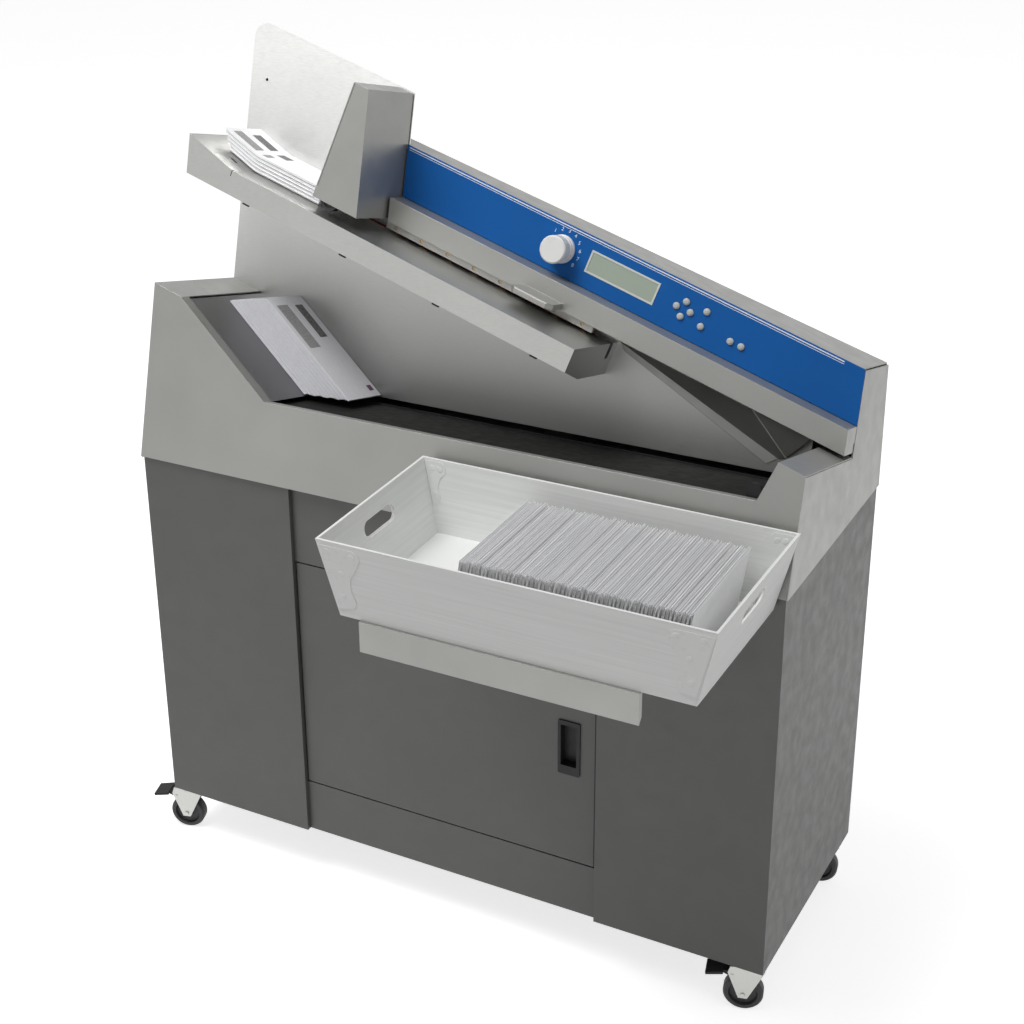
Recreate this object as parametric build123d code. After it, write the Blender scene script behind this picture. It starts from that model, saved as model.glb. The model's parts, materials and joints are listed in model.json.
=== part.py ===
from build123d import *
from math import atan2, cos, degrees, hypot, radians, sin, tan
import os

# Electric letter opener on a wheeled cabinet.
# World frame: +X to the operator's right, +Y to the rear, +Z up, floor at z = 0.
# Every piece is drawn about the middle of the cabinet and moved by PLACE at the end,
# so that the origin lies on the floor under the middle of the whole machine.
# Upper body, local frame "tilt": x to the right, b to the rear, u up the fascia.
# Feed table, local frame "feed": s down the feed slope, b to the rear, n square to it.

# ---- driving dimensions, mm and degrees ----
CABINET_W = 1120.0
CABINET_D = 425.0
CASTER_H = 90.0
CABINET_TOP = 754.0
SHEET = 2.0
RUN_GAP = 0.3
SHAFT_GAP = 0.05

# centre bay and door
BAY_W = 546.0
BAY_RECESS = 8.0
DOOR_Z0 = 188.0
DOOR_H = 430.0
DOOR_GAP = 2.5
DOOR_DEPTH = 18.0
DOOR_PIN_R = 2.5
DOOR_KNUCKLE = 22.0
HANDLE_FROM_EDGE = 46.5
HANDLE_UP = 215.0
HANDLE_W = 38.0
HANDLE_H = 98.0
HANDLE_DEPTH = 15.0
FRAME_H = 40.0
FRAME_FLOOR = 3.0
BIN_W = 450.0
BIN_H = 330.0
BIN_WALL = 3.0
BIN_RIM = 6.0
DUCT_X = 30.0
DUCT_Y = 105.0
DUCT_W = 50.0
DUCT_D = 60.0
DUCT_WALL = 1.5
DUCT_DROP = 266.0
DUCT_RISE = 190.0

# upper body
LEAN = 15.5
FEED_SLOPE = 17.0
SKIRT_OVERHANG = 3.0
FASCIA_FORWARD = 4.8
FASCIA_LIFT = 0.9
GUTTER_U = 132.0
CAP_TOP_U = 293.4
CAP_W = 54.5
RAMP_FOOT_X = -330.4
CHEEK_FOOT_X = 498.4
CHEEK_RUN = 23.5
CHEEK_H = 59.5
GUTTER_LIP = 16.0
RAMP_BORDER = 22.0
RAMP_LAP = 12.0
RAMP_T = 1.5
SCREW_R = 3.0
HANG_HOLE_R = 2.6
HANG_HOLE_IN = 32.5
HANG_HOLE_DOWN = 92.4
PLATE_B = 237.4
PLATE_RISE = 216.1
PLATE_OVERHANG = 2.5
PLATE_CORNER_R = 24.0
PANEL_FORWARD = 7.9
PANEL_T = 3.0
PANEL_H = 81.4
PANEL_GAP = 0.6
REAR_Y_GAP = 0.3
JAMB_D = 14.0
VENT_H = 5.0
SHELL_VENT_W = 120.0
SHELL_VENT_ROWS = 8
SHELL_VENT_PITCH = 14.0
SHELL_VENT_FOOT = 90.0
HOUSING_VENT_W = 110.0
HOUSING_VENT_ROWS = 7
HOUSING_VENT_PITCH = 13.0
HOUSING_VENT_FOOT = 70.0
HOUSING_VENT_STEP = 180.0
INLET_X = -440.0
INLET_RISE = 46.0
INLET_W = 28.0
INLET_H = 20.0

# feed table and belt
DECK_N = 326.5
DECK_W = 169.1
DECK_LIP_H = 38.7
DECK_H = 55.5
DECK_BEND = 62.7
DECK_S1 = 73.9
FLAP_KINK_S = -593.6
FLAP_ANGLE = 12.6
FLAP_HOLLOW_L = 66.4
SLOT_B = (108.0, 137.0)
SLOT_S = -625.0
SLOT_L = 14.0
SLOT_W = 6.0
RAIL_DROP = 26.5
BELT_SIDE_GAP = 1.0
BELT_W = 10.0
BELT_T = 2.0
BELT_LEDGE = 17.7
PULLEY_R = 9.0
BELT_RISE = 0.8
BELT_S0 = -470.0
BELT_S1 = 33.0
SHAFT_R = 4.0

# transport cover, its rollers and guard
COVER_D = 45.5
COVER_RISE = 16.2
COVER_H = 37.9
COVER_SIDE_GAP = 4.8
COVER_HINGE_IN = 5.2
COVER_HINGE_DOWN = 6.2
HINGE_ROD_R = 3.0
LUG_S = (-290.0, 60.0, 385.0)
LUG_W = 14.0
KNUCKLE_W = 4.0
HANGER_B = 190.0
HANGER_T = 8.0
ROLLER_R = 10.0
ROLLER_W = 16.0
ROLLER_S0 = -340.0
ROLLER_PITCH = 52.0
STATIONS = 8
CUTTER_STATION = 5
ROLLER_AXLE_R = 3.0
GUARD_L = 76.0
GUARD_T = 9.5
GUARD_REACH = 43.7
GUARD_OFF = 26.0

# feeder
FEEDER_D = 146.9
FEEDER_S0 = -450.7
FEEDER_X1 = -244.7
FEEDER_RISE = 19.5
FEEDER_TOP_DROP = 2.1
FEEDER_BACK_GAP = 2.0
FEEDER_HINGE_R = 1.5
FEEDER_HINGE_IN = 3.5
FEEDER_HINGE_DOWN = 4.0
SIDE_GAP = 3.0
FEED_ROLLER_S = -420.0
FEED_ROLLER_R = 16.0
FEED_ROLLER_W = 18.0
FEED_ROLLER_LIFT = 8.0
SEPARATOR_L = 68.0
SEPARATOR_D = 105.4
SEPARATOR_RISE = 49.5
SEPARATOR_H = 74.0
SEPARATOR_S0 = -440.0
ARM_W = 12.0
ARM_D = 9.4
ARM_TIP_R = 1.7

# cutter and its motor
CUTTER_R = 32.0
CUTTER_T = 10.0
CUTTER_TEETH = 14
CUTTER_BITE = 1.5
CUTTER_SHAFT_R = 5.0
CUTTER_MOTOR_R = 26.0
CUTTER_MOTOR_H = 80.0
CUTTER_MOTOR_DROP = 30.0
BELT_MOTOR_R = 25.0
BELT_MOTOR_L = 70.0
CONVEYOR_MOTOR_R = 17.0
CONVEYOR_MOTOR_L = 40.0

# panel
SCREEN_W = 126.0
SCREEN_H = 37.0
SCREEN_S = 40.6
SCREEN_UP = 42.7
BEZEL = 2.3
KNOB_S = -71.6
KNOB_UP = 40.3
KNOB_R = 23.0
KNOB_H = 38.0
KNOB_SHAFT_R = 3.0
BUTTON_R = 5.5
BUTTON_OUT = 4.0
ARROW_S = 153.0
ARROW_UP = 41.2
ARROW_STEP = 12.4
PAIR_S = 189.5
RUN_S = 242.0
RUN_STEP = 19.0
BOARD_T = 1.6
BOARD_GAP = 7.0

# output conveyor and chute
CONVEYOR_DROP = 10.0
CONVEYOR_B0 = 34.0
CONVEYOR_REAR_GAP = 8.4
CONVEYOR_X0 = -340.0
CONVEYOR_END_GAP = 28.4
CONVEYOR_R = 20.0
RAIL_T = 4.0
LEG_W = 24.0
BRACKET_W = 21.0
BRACKET_D = 10.0
BRACKET_RISE = 30.0
BRACKET_FROM_AXLE = 5.0
CHUTE_HEAD_X = 170.0
CHUTE_HEAD_RISE = 161.0
CHUTE_RIDGE_X = 412.6
CHUTE_RIDGE_RISE = 98.0
CHUTE_FOOT_X = 452.0
CHUTE_TOE_X = 464.0
CHUTE_TOE_RISE = 28.0
CHUTE_TOE_OUT = 11.4
CHUTE_WING_X = 512.0
CHUTE_WING_RISE = 73.0
CHUTE_OUT = 47.4
CHUTE_T = 1.5
CHUTE_FLANGE_T = 2.3

# shelf, tray and letters
SHELF_W = 429.0
SHELF_X = 252.5
SHELF_FRONT = 301.5
SHELF_LIP = 49.0
SHELF_T = 2.5
SHELF_RETURN = 9.0
SHELF_DROP = 16.1
SHELF_FLANGE = 60.0
TRAY_L = 597.5
TRAY_D = 312.3
TRAY_H = 121.5
TRAY_X = 275.0
TRAY_GAP = 20.6
TRAY_WALL = 4.0
TRAY_FLARE_X = 28.7
TRAY_FLARE_Y = 12.0
HAND_HOLE_W = 86.0
HAND_HOLE_H = 26.0
HAND_HOLE_DOWN = 39.0
ENVELOPE_L = 220.0
ENVELOPE_H = 110.0
FEED_STACK_T = 28.5
FEED_STACK_GAP = 6.0
OUTPUT_STACK_T = 58.0
OUTPUT_STACK_L = 214.0
MAIL_L = 215.0
MAIL_H = 101.5
MAIL_COUNT = 44
MAIL_PITCH = 8.05
MAIL_LEAN = 14.5
MAIL_START = -118.5
MAIL_FRONT = 94.0

# casters
WHEEL_R = 31.75
WHEEL_W = 22.0
TRAIL = 14.0
CROWN_T = 6.0
CROWN_R = 21.0
CHEEK_T = 3.0
PEDAL_REACH = 60.0
PEDAL_HALF_W = 17.0
PEDAL_PIN_R = 2.5
FRONT_CASTER_TURN = 195.0
REAR_CASTER_TURN = 190.0
CASTER_INSET_X = 24.0
CASTER_INSET_Y = 27.5
CASTER_PLATE = 46.0
CASTER_PLATE_T = 3.0
KING_PIN_R = 5.0
KING_PIN_L = 12.0
AXLE_R = 4.0

# ---- places worked out from them ----
HALF_W = CABINET_W / 2
HALF_D = CABINET_D / 2
DOOR_Z1 = DOOR_Z0 + DOOR_H
BODY_X = HALF_W + SKIRT_OVERHANG
BAY_Y = -HALF_D + BAY_RECESS
FASCIA_Y = -HALF_D - FASCIA_FORWARD
FASCIA_Z = CABINET_TOP + FASCIA_LIFT
LEAN_R = radians(LEAN)
SLOPE_R = radians(FEED_SLOPE)
REAR_Y = HALF_D + REAR_Y_GAP
CAP_INNER_X = -BODY_X + CAP_W
CAP_INNER_U = CAP_TOP_U - CAP_W * tan(SLOPE_R)
CHEEK_TOP_X = CHEEK_FOOT_X + CHEEK_RUN
CHEEK_TOP_U = GUTTER_U + CHEEK_H
CHEEK_OUT_U = CHEEK_TOP_U - (BODY_X - CHEEK_TOP_X) * tan(SLOPE_R)
PANEL_B = PLATE_B - PANEL_FORWARD
PLATE_TOP_N = DECK_N + PLATE_RISE
DECK_B0 = PLATE_B - DECK_W
DECK_LIP_N = DECK_N - DECK_LIP_H
DECK_BOTTOM_N = DECK_N - DECK_H
DECK_BEND_B = DECK_B0 + DECK_BEND
RAIL_N = DECK_N - RAIL_DROP
LEDGE_B = PLATE_B - BELT_LEDGE
BELT_B1 = LEDGE_B - 1.2 * BELT_SIDE_GAP
BELT_B0 = BELT_B1 - BELT_W
DECK_B1 = BELT_B0 - BELT_SIDE_GAP
COVER_B1 = PANEL_B - RUN_GAP
COVER_B0 = COVER_B1 - COVER_D
COVER_N0 = DECK_N + COVER_RISE
COVER_N1 = COVER_N0 + COVER_H
PANEL_N0 = COVER_N1 + PANEL_GAP
PANEL_N1 = PANEL_N0 + PANEL_H
FEEDER_B1 = PLATE_B - FEEDER_BACK_GAP
FEEDER_B0 = FEEDER_B1 - FEEDER_D
FEEDER_N0 = DECK_N + FEEDER_RISE
FEEDER_N1 = PLATE_TOP_N - FEEDER_TOP_DROP
SCREEN_N = PANEL_N0 + SCREEN_UP
KNOB_N = PANEL_N0 + KNOB_UP
ARROW_N = PANEL_N0 + ARROW_UP
CONVEYOR_U = GUTTER_U - CONVEYOR_DROP
CONVEYOR_B1 = PLATE_B - CONVEYOR_REAR_GAP
CONVEYOR_X1 = CHEEK_FOOT_X - CONVEYOR_END_GAP
RAMP_ANGLE = atan2(CAP_INNER_U - GUTTER_U, RAMP_FOOT_X - CAP_INNER_X)
PULLEY_N = DECK_N + BELT_RISE - BELT_T - RUN_GAP - PULLEY_R
ROLLER_N = DECK_N + BELT_RISE + RUN_GAP + ROLLER_R
CUTTER_S = ROLLER_S0 + CUTTER_STATION * ROLLER_PITCH
CUTTER_B = PLATE_B - CUTTER_BITE + CUTTER_R
CUTTER_N = DECK_N + 1.5
TRAY_Z = CABINET_TOP - SHELF_DROP
TRAY_RIM_Z = TRAY_Z + TRAY_H
TRAY_BACK_Y = FASCIA_Y + (TRAY_RIM_Z - FASCIA_Z) * tan(LEAN_R) - TRAY_GAP
TRAY_Y = TRAY_BACK_Y - TRAY_D / 2
COVER_AXIS = (COVER_B1 - COVER_HINGE_IN, COVER_N1 - COVER_HINGE_DOWN)
FEEDER_AXIS = (FEEDER_B1 - FEEDER_HINGE_IN, FEEDER_N1 - FEEDER_HINGE_DOWN)
FEED_ROLLER_N = DECK_N + FEED_ROLLER_LIFT + FEED_ROLLER_R
PEDAL_X = TRAIL + 18.0
PEDAL_Z = CASTER_H - 22.0
DOOR_X0 = -BAY_W / 2 + DOOR_GAP
DOOR_AXIS = (DOOR_X0 + 6.0, BAY_Y + 4.5)
HANDLE_X = -DOOR_X0 - HANDLE_FROM_EDGE
HANDLE_Z = DOOR_Z0 + HANDLE_UP
INLET_Z = CABINET_TOP + INLET_RISE

# The reach of the whole machine, left and right, front and rear.
TURN_R = radians(FRONT_CASTER_TURN - 180)
PEDAL_LEFT = (TRAIL + PEDAL_REACH) * cos(TURN_R) + PEDAL_HALF_W * sin(TURN_R)
REACH_LEFT = -HALF_W + CASTER_INSET_X - PEDAL_LEFT
REACH_RIGHT = TRAY_X + TRAY_L / 2
REACH_FRONT = TRAY_BACK_Y - TRAY_D
REACH_REAR = REAR_Y
PLACE = Location((-(REACH_LEFT + REACH_RIGHT) / 2, -(REACH_FRONT + REACH_REAR) / 2, 0))
TILT = Plane(
    origin=(0, FASCIA_Y, FASCIA_Z),
    x_dir=(1, 0, 0),
    z_dir=(0, sin(LEAN_R), cos(LEAN_R)),
).location
FEED = TILT * Rotation(0, FEED_SLOPE, 0)


def block(x0, x1, y0, y1, z0, z1):
    """A box between two corners."""
    size = (x1 - x0, y1 - y0, z1 - z0)
    middle = ((x0 + x1) / 2, (y0 + y1) / 2, (z0 + z1) / 2)
    return Pos(*middle) * Box(*size)


def prism_x(points, x0, x1):
    """A (y, z) outline drawn out along x."""
    outline = Polyline(*[(x0, y, z) for y, z in points], close=True)
    return extrude(make_face(outline), amount=x1 - x0, dir=(1, 0, 0))


def prism_y(points, y0, y1):
    """An (x, z) outline drawn out along y."""
    outline = Polyline(*[(x, y0, z) for x, z in points], close=True)
    return extrude(make_face(outline), amount=y1 - y0, dir=(0, 1, 0))


def rod_x(radius, x0, x1, y, z):
    return Pos((x0 + x1) / 2, y, z) * Rotation(0, 90, 0) * Cylinder(radius, x1 - x0)


def rod_y(radius, x, y0, y1, z):
    return Pos(x, (y0 + y1) / 2, z) * Rotation(90, 0, 0) * Cylinder(radius, y1 - y0)


def rod_z(radius, x, y, z0, z1):
    return Pos(x, y, (z0 + z1) / 2) * Cylinder(radius, z1 - z0)


def together(*shapes):
    """Separate solids kept as one piece."""
    solids = []
    for shape in shapes:
        solids.extend(shape.solids())
    return Compound(solids)


def offset_path(points, distance):
    """The open path moved to its right-hand side, with mitred corners."""
    normals = []
    for (x0, z0), (x1, z1) in zip(points, points[1:]):
        length = hypot(x1 - x0, z1 - z0)
        normals.append(((z1 - z0) / length, (x0 - x1) / length))
    moved = []
    for i, (x, z) in enumerate(points):
        before = normals[max(i - 1, 0)]
        after = normals[min(i, len(normals) - 1)]
        share = distance / (1 + before[0] * after[0] + before[1] * after[1])
        moved.append((x + share * (before[0] + after[0]), z + share * (before[1] + after[1])))
    return moved


def folded_sheet(points, y0, y1, thickness=SHEET):
    """A folded strip of sheet, its outer face on the path and its thickness below it."""
    inner = offset_path(points, thickness)
    return prism_y(points + inner[::-1], y0, y1)


def stadium(x0, x1, z, radius, y0, y1):
    """A bar with two round ends, as a belt loop lies round two pulleys."""
    bar = block(x0, x1, y0, y1, z - radius, z + radius)
    return bar + rod_y(radius, x0, y0, y1, z) + rod_y(radius, x1, y0, y1, z)


def belt_loop(x0, x1, z, inner_radius, thickness, y0, y1):
    outer = stadium(x0, x1, z, inner_radius + thickness, y0, y1)
    return outer - stadium(x0, x1, z, inner_radius, y0 - 1, y1 + 1)


def to_yz(b, u):
    """World y and z of a point of the tilt frame."""
    y = FASCIA_Y + b * cos(LEAN_R) + u * sin(LEAN_R)
    z = FASCIA_Z - b * sin(LEAN_R) + u * cos(LEAN_R)
    return y, z


def u_at(x, n):
    """Height u of the feed-frame level n at tilt-frame x."""
    return (n - x * sin(SLOPE_R)) / cos(SLOPE_R)


def in_feed(shape):
    """Turns a shape drawn in the tilt frame into feed-frame coordinates."""
    return Rotation(0, -FEED_SLOPE, 0) * shape


def left_of(x_limit, reach=2000.0):
    """Everything left of a tilt-frame x, as a feed-frame solid."""
    return in_feed(block(x_limit - reach, x_limit, -reach, reach, -reach, reach))


# ---- cabinet, world frame ----
def caster_places():
    x = HALF_W - CASTER_INSET_X
    y = HALF_D - CASTER_INSET_Y
    front = FRONT_CASTER_TURN
    rear = REAR_CASTER_TURN
    return {"fl": (-x, -y, front), "fr": (x, -y, front), "rl": (-x, y, rear), "rr": (x, y, rear)}


def base_frame():
    """Floor of the cabinet, with upstands and the casters' plates and king pins."""
    half_x = HALF_W - SHEET - RUN_GAP
    front = BAY_Y + SHEET + RUN_GAP
    rear = HALF_D - SHEET - RUN_GAP
    top = CASTER_H + FRAME_H
    frame = block(-half_x, half_x, front, rear, CASTER_H, top)
    well = CASTER_H + FRAME_FLOOR
    frame -= block(-half_x + SHEET, half_x - SHEET, front + SHEET, rear - SHEET, well, top + 1)
    for side in (-1, 1):
        x = side * (BAY_W / 2 + SHEET / 2)
        notch = SHEET / 2 + RUN_GAP
        frame -= block(x - notch, x + notch, front - 1, BAY_Y + JAMB_D + RUN_GAP, CASTER_H - 1, top + 1)
    half = CASTER_PLATE / 2
    plate_z = CASTER_H - CASTER_PLATE_T
    for x, y, _ in caster_places().values():
        frame += block(x - half, x + half, y - half, y + half, plate_z, CASTER_H)
        frame += rod_z(KING_PIN_R, x, y, plate_z - KING_PIN_L, CASTER_H)
    return frame


def caster_fork():
    """Crown, two cheeks and axle, about the swivel axis, trailing along +x."""
    top = CASTER_H - CASTER_PLATE_T - RUN_GAP
    cheek_in = WHEEL_W / 2 + 1
    cheek_out = cheek_in + CHEEK_T
    fork = rod_z(CROWN_R, 0, 0, top - CROWN_T, top)
    fork += block(0, TRAIL + 4, -cheek_out, cheek_out, top - CROWN_T, top)
    outline = [
        (TRAIL - 7, WHEEL_R - 6),
        (TRAIL + 7, WHEEL_R - 6),
        (TRAIL + 25, top - CROWN_T - 8),
        (TRAIL + 21, top - 2),
        (TRAIL - 30, top),
        (TRAIL - 33, top - CROWN_T),
    ]
    for side in (-1, 1):
        y0 = min(side * cheek_in, side * cheek_out)
        fork += prism_y(outline, y0, y0 + CHEEK_T)
    fork += rod_y(AXLE_R, TRAIL, -cheek_out - 2, cheek_out + 2, WHEEL_R)
    fork += rod_y(PEDAL_PIN_R, PEDAL_X, -cheek_out - 1, cheek_out + 1, PEDAL_Z)
    return fork - rod_z(KING_PIN_R + SHAFT_GAP, 0, 0, top - CROWN_T - 1, top + 1)


def caster_wheel():
    """Rounded tread and dished hub, turned about the axle, centred on the trail."""
    half = WHEEL_W / 2
    profile = [
        (AXLE_R + SHAFT_GAP, -half + 1),
        (9, -half + 1),
        (11, -half + 5),
        (21, -half + 5),
        (23, -half),
        (WHEEL_R - 3, -half),
        (WHEEL_R, -half + 4),
        (WHEEL_R, half - 4),
        (WHEEL_R - 3, half),
        (23, half),
        (21, half - 5),
        (11, half - 5),
        (9, half - 1),
        (AXLE_R + SHAFT_GAP, half - 1),
    ]
    outline = Polyline(*[(r, 0, z) for r, z in profile], close=True)
    wheel = revolve(make_face(outline), axis=Axis.Z)
    return Pos(TRAIL, 0, WHEEL_R) * Rotation(90, 0, 0) * wheel


def brake_pedal():
    """Foot pedal hinged between the fork's cheeks, ahead of the wheel."""
    half = WHEEL_W / 2 + 0.5
    end = TRAIL + PEDAL_REACH
    arm = [
        (PEDAL_X - 5, PEDAL_Z - 4),
        (PEDAL_X + 5, PEDAL_Z - 4),
        (PEDAL_X + 16, PEDAL_Z + 1),
        (PEDAL_X + 16, PEDAL_Z + 5),
        (PEDAL_X - 5, PEDAL_Z + 5),
    ]
    pad = [
        (PEDAL_X + 14, PEDAL_Z + 1),
        (end - 1, PEDAL_Z - 4),
        (end, PEDAL_Z),
        (PEDAL_X + 14, PEDAL_Z + 6),
    ]
    pedal = prism_y(arm, -half, half) + prism_y(pad, -PEDAL_HALF_W, PEDAL_HALF_W)
    return pedal - rod_y(PEDAL_PIN_R + SHAFT_GAP, PEDAL_X, -half - 1, half + 1, PEDAL_Z)


def at_caster(shape, place):
    x, y, turn = place
    return Pos(x, y, 0) * Rotation(0, 0, turn) * shape


def cabinet_shell():
    """Folded sheet round the left, rear and right sides, its front wings and its top."""
    x_in = HALF_W - SHEET
    y_in = HALF_D - SHEET
    shell = block(-HALF_W, HALF_W, -HALF_D, HALF_D, CASTER_H, CABINET_TOP)
    shell -= block(-x_in, x_in, -y_in, y_in, CASTER_H - 1, CABINET_TOP - SHEET)
    half = BAY_W / 2
    shell -= block(-half, half, -HALF_D - 1, -y_in + 1, CASTER_H - 1, CABINET_TOP + 1)
    shell -= block(-half, half, -HALF_D - 1, BAY_Y, CABINET_TOP - 3, CABINET_TOP + 1)
    for side in (-1, 1):
        x0 = min(side * half, side * (half + SHEET))
        shell += block(x0, x0 + SHEET, -HALF_D, BAY_Y + JAMB_D, CASTER_H, CABINET_TOP)
    shell += chip_duct(0, 0)
    shell -= chip_duct(DUCT_WALL, 1)
    for row in range(SHELL_VENT_ROWS):
        z = CASTER_H + SHELL_VENT_FOOT + SHELL_VENT_PITCH * row
        shell -= block(-SHELL_VENT_W / 2, SHELL_VENT_W / 2, y_in - 1, HALF_D + 1, z, z + VENT_H)
    return shell


def chip_duct(inset, past):
    """Upright duct that drops the milled paper into the bin, or its bore."""
    x1 = DUCT_X + DUCT_W
    y1 = DUCT_Y + DUCT_D
    z0 = CABINET_TOP - DUCT_DROP - past
    z1 = CABINET_TOP + DUCT_RISE + past
    return block(DUCT_X + inset, x1 - inset, DUCT_Y + inset, y1 - inset, z0, z1)


def door_surround():
    """Fixed upper panel and kick plate of the centre bay, with the flanges behind the door."""
    half = BAY_W / 2 - RUN_GAP
    back = BAY_Y + SHEET
    flange = BAY_Y + 34
    stop_y = BAY_Y + DOOR_DEPTH + 2.5
    frame = block(-half, half, BAY_Y, back, DOOR_Z1, CABINET_TOP - SHEET - RUN_GAP)
    frame += block(-half, half, BAY_Y, back, CASTER_H + 1, DOOR_Z0)
    frame += block(-half, half, BAY_Y, flange, DOOR_Z1, DOOR_Z1 + SHEET)
    frame += block(-half, half, BAY_Y, flange, DOOR_Z0 - SHEET, DOOR_Z0)
    for side in (-1, 1):
        x0 = min(side * half, side * (half - 14))
        frame += block(x0, x0 + 14, stop_y, stop_y + SHEET, DOOR_Z0, DOOR_Z1)
    x, y = DOOR_AXIS
    hole = DOOR_PIN_R + SHAFT_GAP
    frame -= rod_z(hole, x, y, DOOR_Z1 - 1, DOOR_Z1 + 5)
    frame -= rod_z(hole, x, y, DOOR_Z0 - 5, DOOR_Z0 + 1)
    return frame


def cabinet_door():
    """Pan-shaped door with returned edges and its two hinge pins."""
    z0 = DOOR_Z0 + DOOR_GAP
    z1 = DOOR_Z1 - DOOR_GAP
    door = block(DOOR_X0, -DOOR_X0, BAY_Y, BAY_Y + DOOR_DEPTH, z0, z1)
    door -= block(
        DOOR_X0 + SHEET, -DOOR_X0 - SHEET, BAY_Y + SHEET, BAY_Y + DOOR_DEPTH + 1, z0 + SHEET, z1 - SHEET
    )
    x, y = DOOR_AXIS
    inset = SHEET + DOOR_KNUCKLE
    for low, high in ((z1 - inset, DOOR_Z1 + SHEET), (DOOR_Z0 - SHEET, z0 + inset)):
        door += rod_z(DOOR_PIN_R, x, y, low, high)
    for z in (z0 + SHEET, z1 - SHEET - DOOR_KNUCKLE):
        door += block(x - 4, x + 4, y - 3, y + 4, z, z + DOOR_KNUCKLE)
    w = HANDLE_W / 2 - 2
    h = HANDLE_H / 2 - 2
    return door - block(HANDLE_X - w, HANDLE_X + w, BAY_Y - 1, BAY_Y + 3, HANDLE_Z - h, HANDLE_Z + h)


def door_handle():
    """Recessed pull: a flange on the door's face and a cup with an undercut grip."""
    w = HANDLE_W / 2
    h = HANDLE_H / 2
    body = block(-w, w, -2.5, 0, -h, h)
    body = fillet(body.edges().filter_by(Axis.Y), 3)
    inset = 2.2
    body += block(-w + inset, w - inset, 0, HANDLE_DEPTH, -h + inset, h - inset)
    body -= block(-w + 5, w - 6, -4, 12.5, -h + 16, h - 8)
    body -= block(-w + 5, w - 3.6, 3, 12.5, -h + 16, h - 8)
    return Pos(HANDLE_X, BAY_Y, HANDLE_Z) * body


def waste_bin():
    """Open-topped bin for the milled paper, standing on the cabinet's floor."""
    z0 = CASTER_H + FRAME_FLOOR
    z1 = z0 + BIN_H
    x = BIN_W / 2
    y0 = BAY_Y + 45
    y1 = HALF_D - 50
    wall = BIN_WALL
    outer = block(-x, x, y0, y1, z0, z1)
    inner = block(-x + wall, x - wall, y0 + wall, y1 - wall, z0 + wall, z1 + 1)
    rim = block(-x - BIN_RIM, x + BIN_RIM, y0 - BIN_RIM, y1 + BIN_RIM, z1 - 2 * BIN_RIM, z1)
    return outer + rim - inner


# ---- tray shelf and tray, world frame ----
def tray_shelf():
    """Shelf on the cabinet's front, with a deep front lip and two gussets under it."""
    x0 = SHELF_X - SHELF_W / 2
    x1 = SHELF_X + SHELF_W / 2
    front = -HALF_D - SHELF_FRONT
    top = TRAY_Z - RUN_GAP
    shelf = block(x0, x1, front, -HALF_D, top - SHELF_T, top)
    shelf += block(x0, x1, front, front + SHELF_T, top - SHELF_LIP, top)
    for x in (x0, x1 - SHELF_T):
        back = front + SHELF_RETURN
        low = top - SHELF_LIP
        fold = [(front, top), (back, top), (back, low + SHELF_RETURN), (front, low)]
        shelf += prism_x(fold, x, x + SHELF_T)
    wing = BAY_W / 2 + SHEET + 2
    shelf += block(wing, x1, -HALF_D - SHELF_T, -HALF_D, top - SHELF_FLANGE, top)
    tip = front + 12
    under = top - SHELF_T
    gusset = [(-HALF_D, under), (tip, under), (tip, under - 7), (-HALF_D, top - SHELF_FLANGE)]
    gussets = [prism_x(gusset, x, x + SHELF_T) for x in (wing - SHELF_T, x1 - 30)]
    return together(shelf, gussets[0], gussets[1] - shelf)


def tapered_box(length, depth, height, flare_x, flare_y):
    """A box with sloping walls, wider at the rim, about its own middle."""
    rim = Pos(0, 0, height) * Rectangle(length, depth)
    foot = Rectangle(length - 2 * flare_x, depth - 2 * flare_y)
    return loft([foot, rim])


def mail_tray():
    """Flared mail tray with a hand hole in each end wall."""
    outer = tapered_box(TRAY_L, TRAY_D, TRAY_H, TRAY_FLARE_X, TRAY_FLARE_Y)
    inner = tapered_box(
        TRAY_L - 2 * TRAY_WALL, TRAY_D - 2 * TRAY_WALL, TRAY_H, TRAY_FLARE_X, TRAY_FLARE_Y
    )
    floor_cut = block(-TRAY_L, TRAY_L, -TRAY_D, TRAY_D, -1, TRAY_WALL)
    tray = outer - (inner - floor_cut)
    return Pos(TRAY_X, TRAY_Y, TRAY_Z) * (tray - hand_holes())


def hand_holes():
    """Round-ended bar that cuts the hand hole of both end walls, tray frame."""
    radius = HAND_HOLE_H / 2
    z = TRAY_H - HAND_HOLE_DOWN
    flat = HAND_HOLE_W / 2 - radius
    hole = block(-TRAY_L, TRAY_L, -flat, flat, z - radius, z + radius)
    for y in (-flat, flat):
        hole += rod_x(radius, -TRAY_L, TRAY_L, y, z)
    return hole


def tray_mail():
    """Row of cut envelopes standing on edge, leaning a little to the right."""
    floor_z = TRAY_Z + TRAY_WALL + RUN_GAP
    x_start = TRAY_X + MAIL_START
    pitch = MAIL_PITCH
    lean = MAIL_LEAN
    comb = []
    for i in range(MAIL_COUNT):
        x = x_start + lean + pitch * i
        height = MAIL_H - 3 - 2.4 * sin(2.3 * i) - 1.2 * sin(0.9 * i)
        comb.append((x, floor_z + height - 2.2))
        comb.append((x + 0.3 * pitch, floor_z + height + 0.5))
        comb.append((x + 0.62 * pitch, floor_z + height))
    x_end = x_start + pitch * MAIL_COUNT
    outline = [(x_start, floor_z)] + comb + [(x_end + lean, floor_z + MAIL_H - 6), (x_end, floor_z)]
    y0 = TRAY_Y - MAIL_FRONT
    return prism_y(outline, y0, y0 + MAIL_L)


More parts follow.
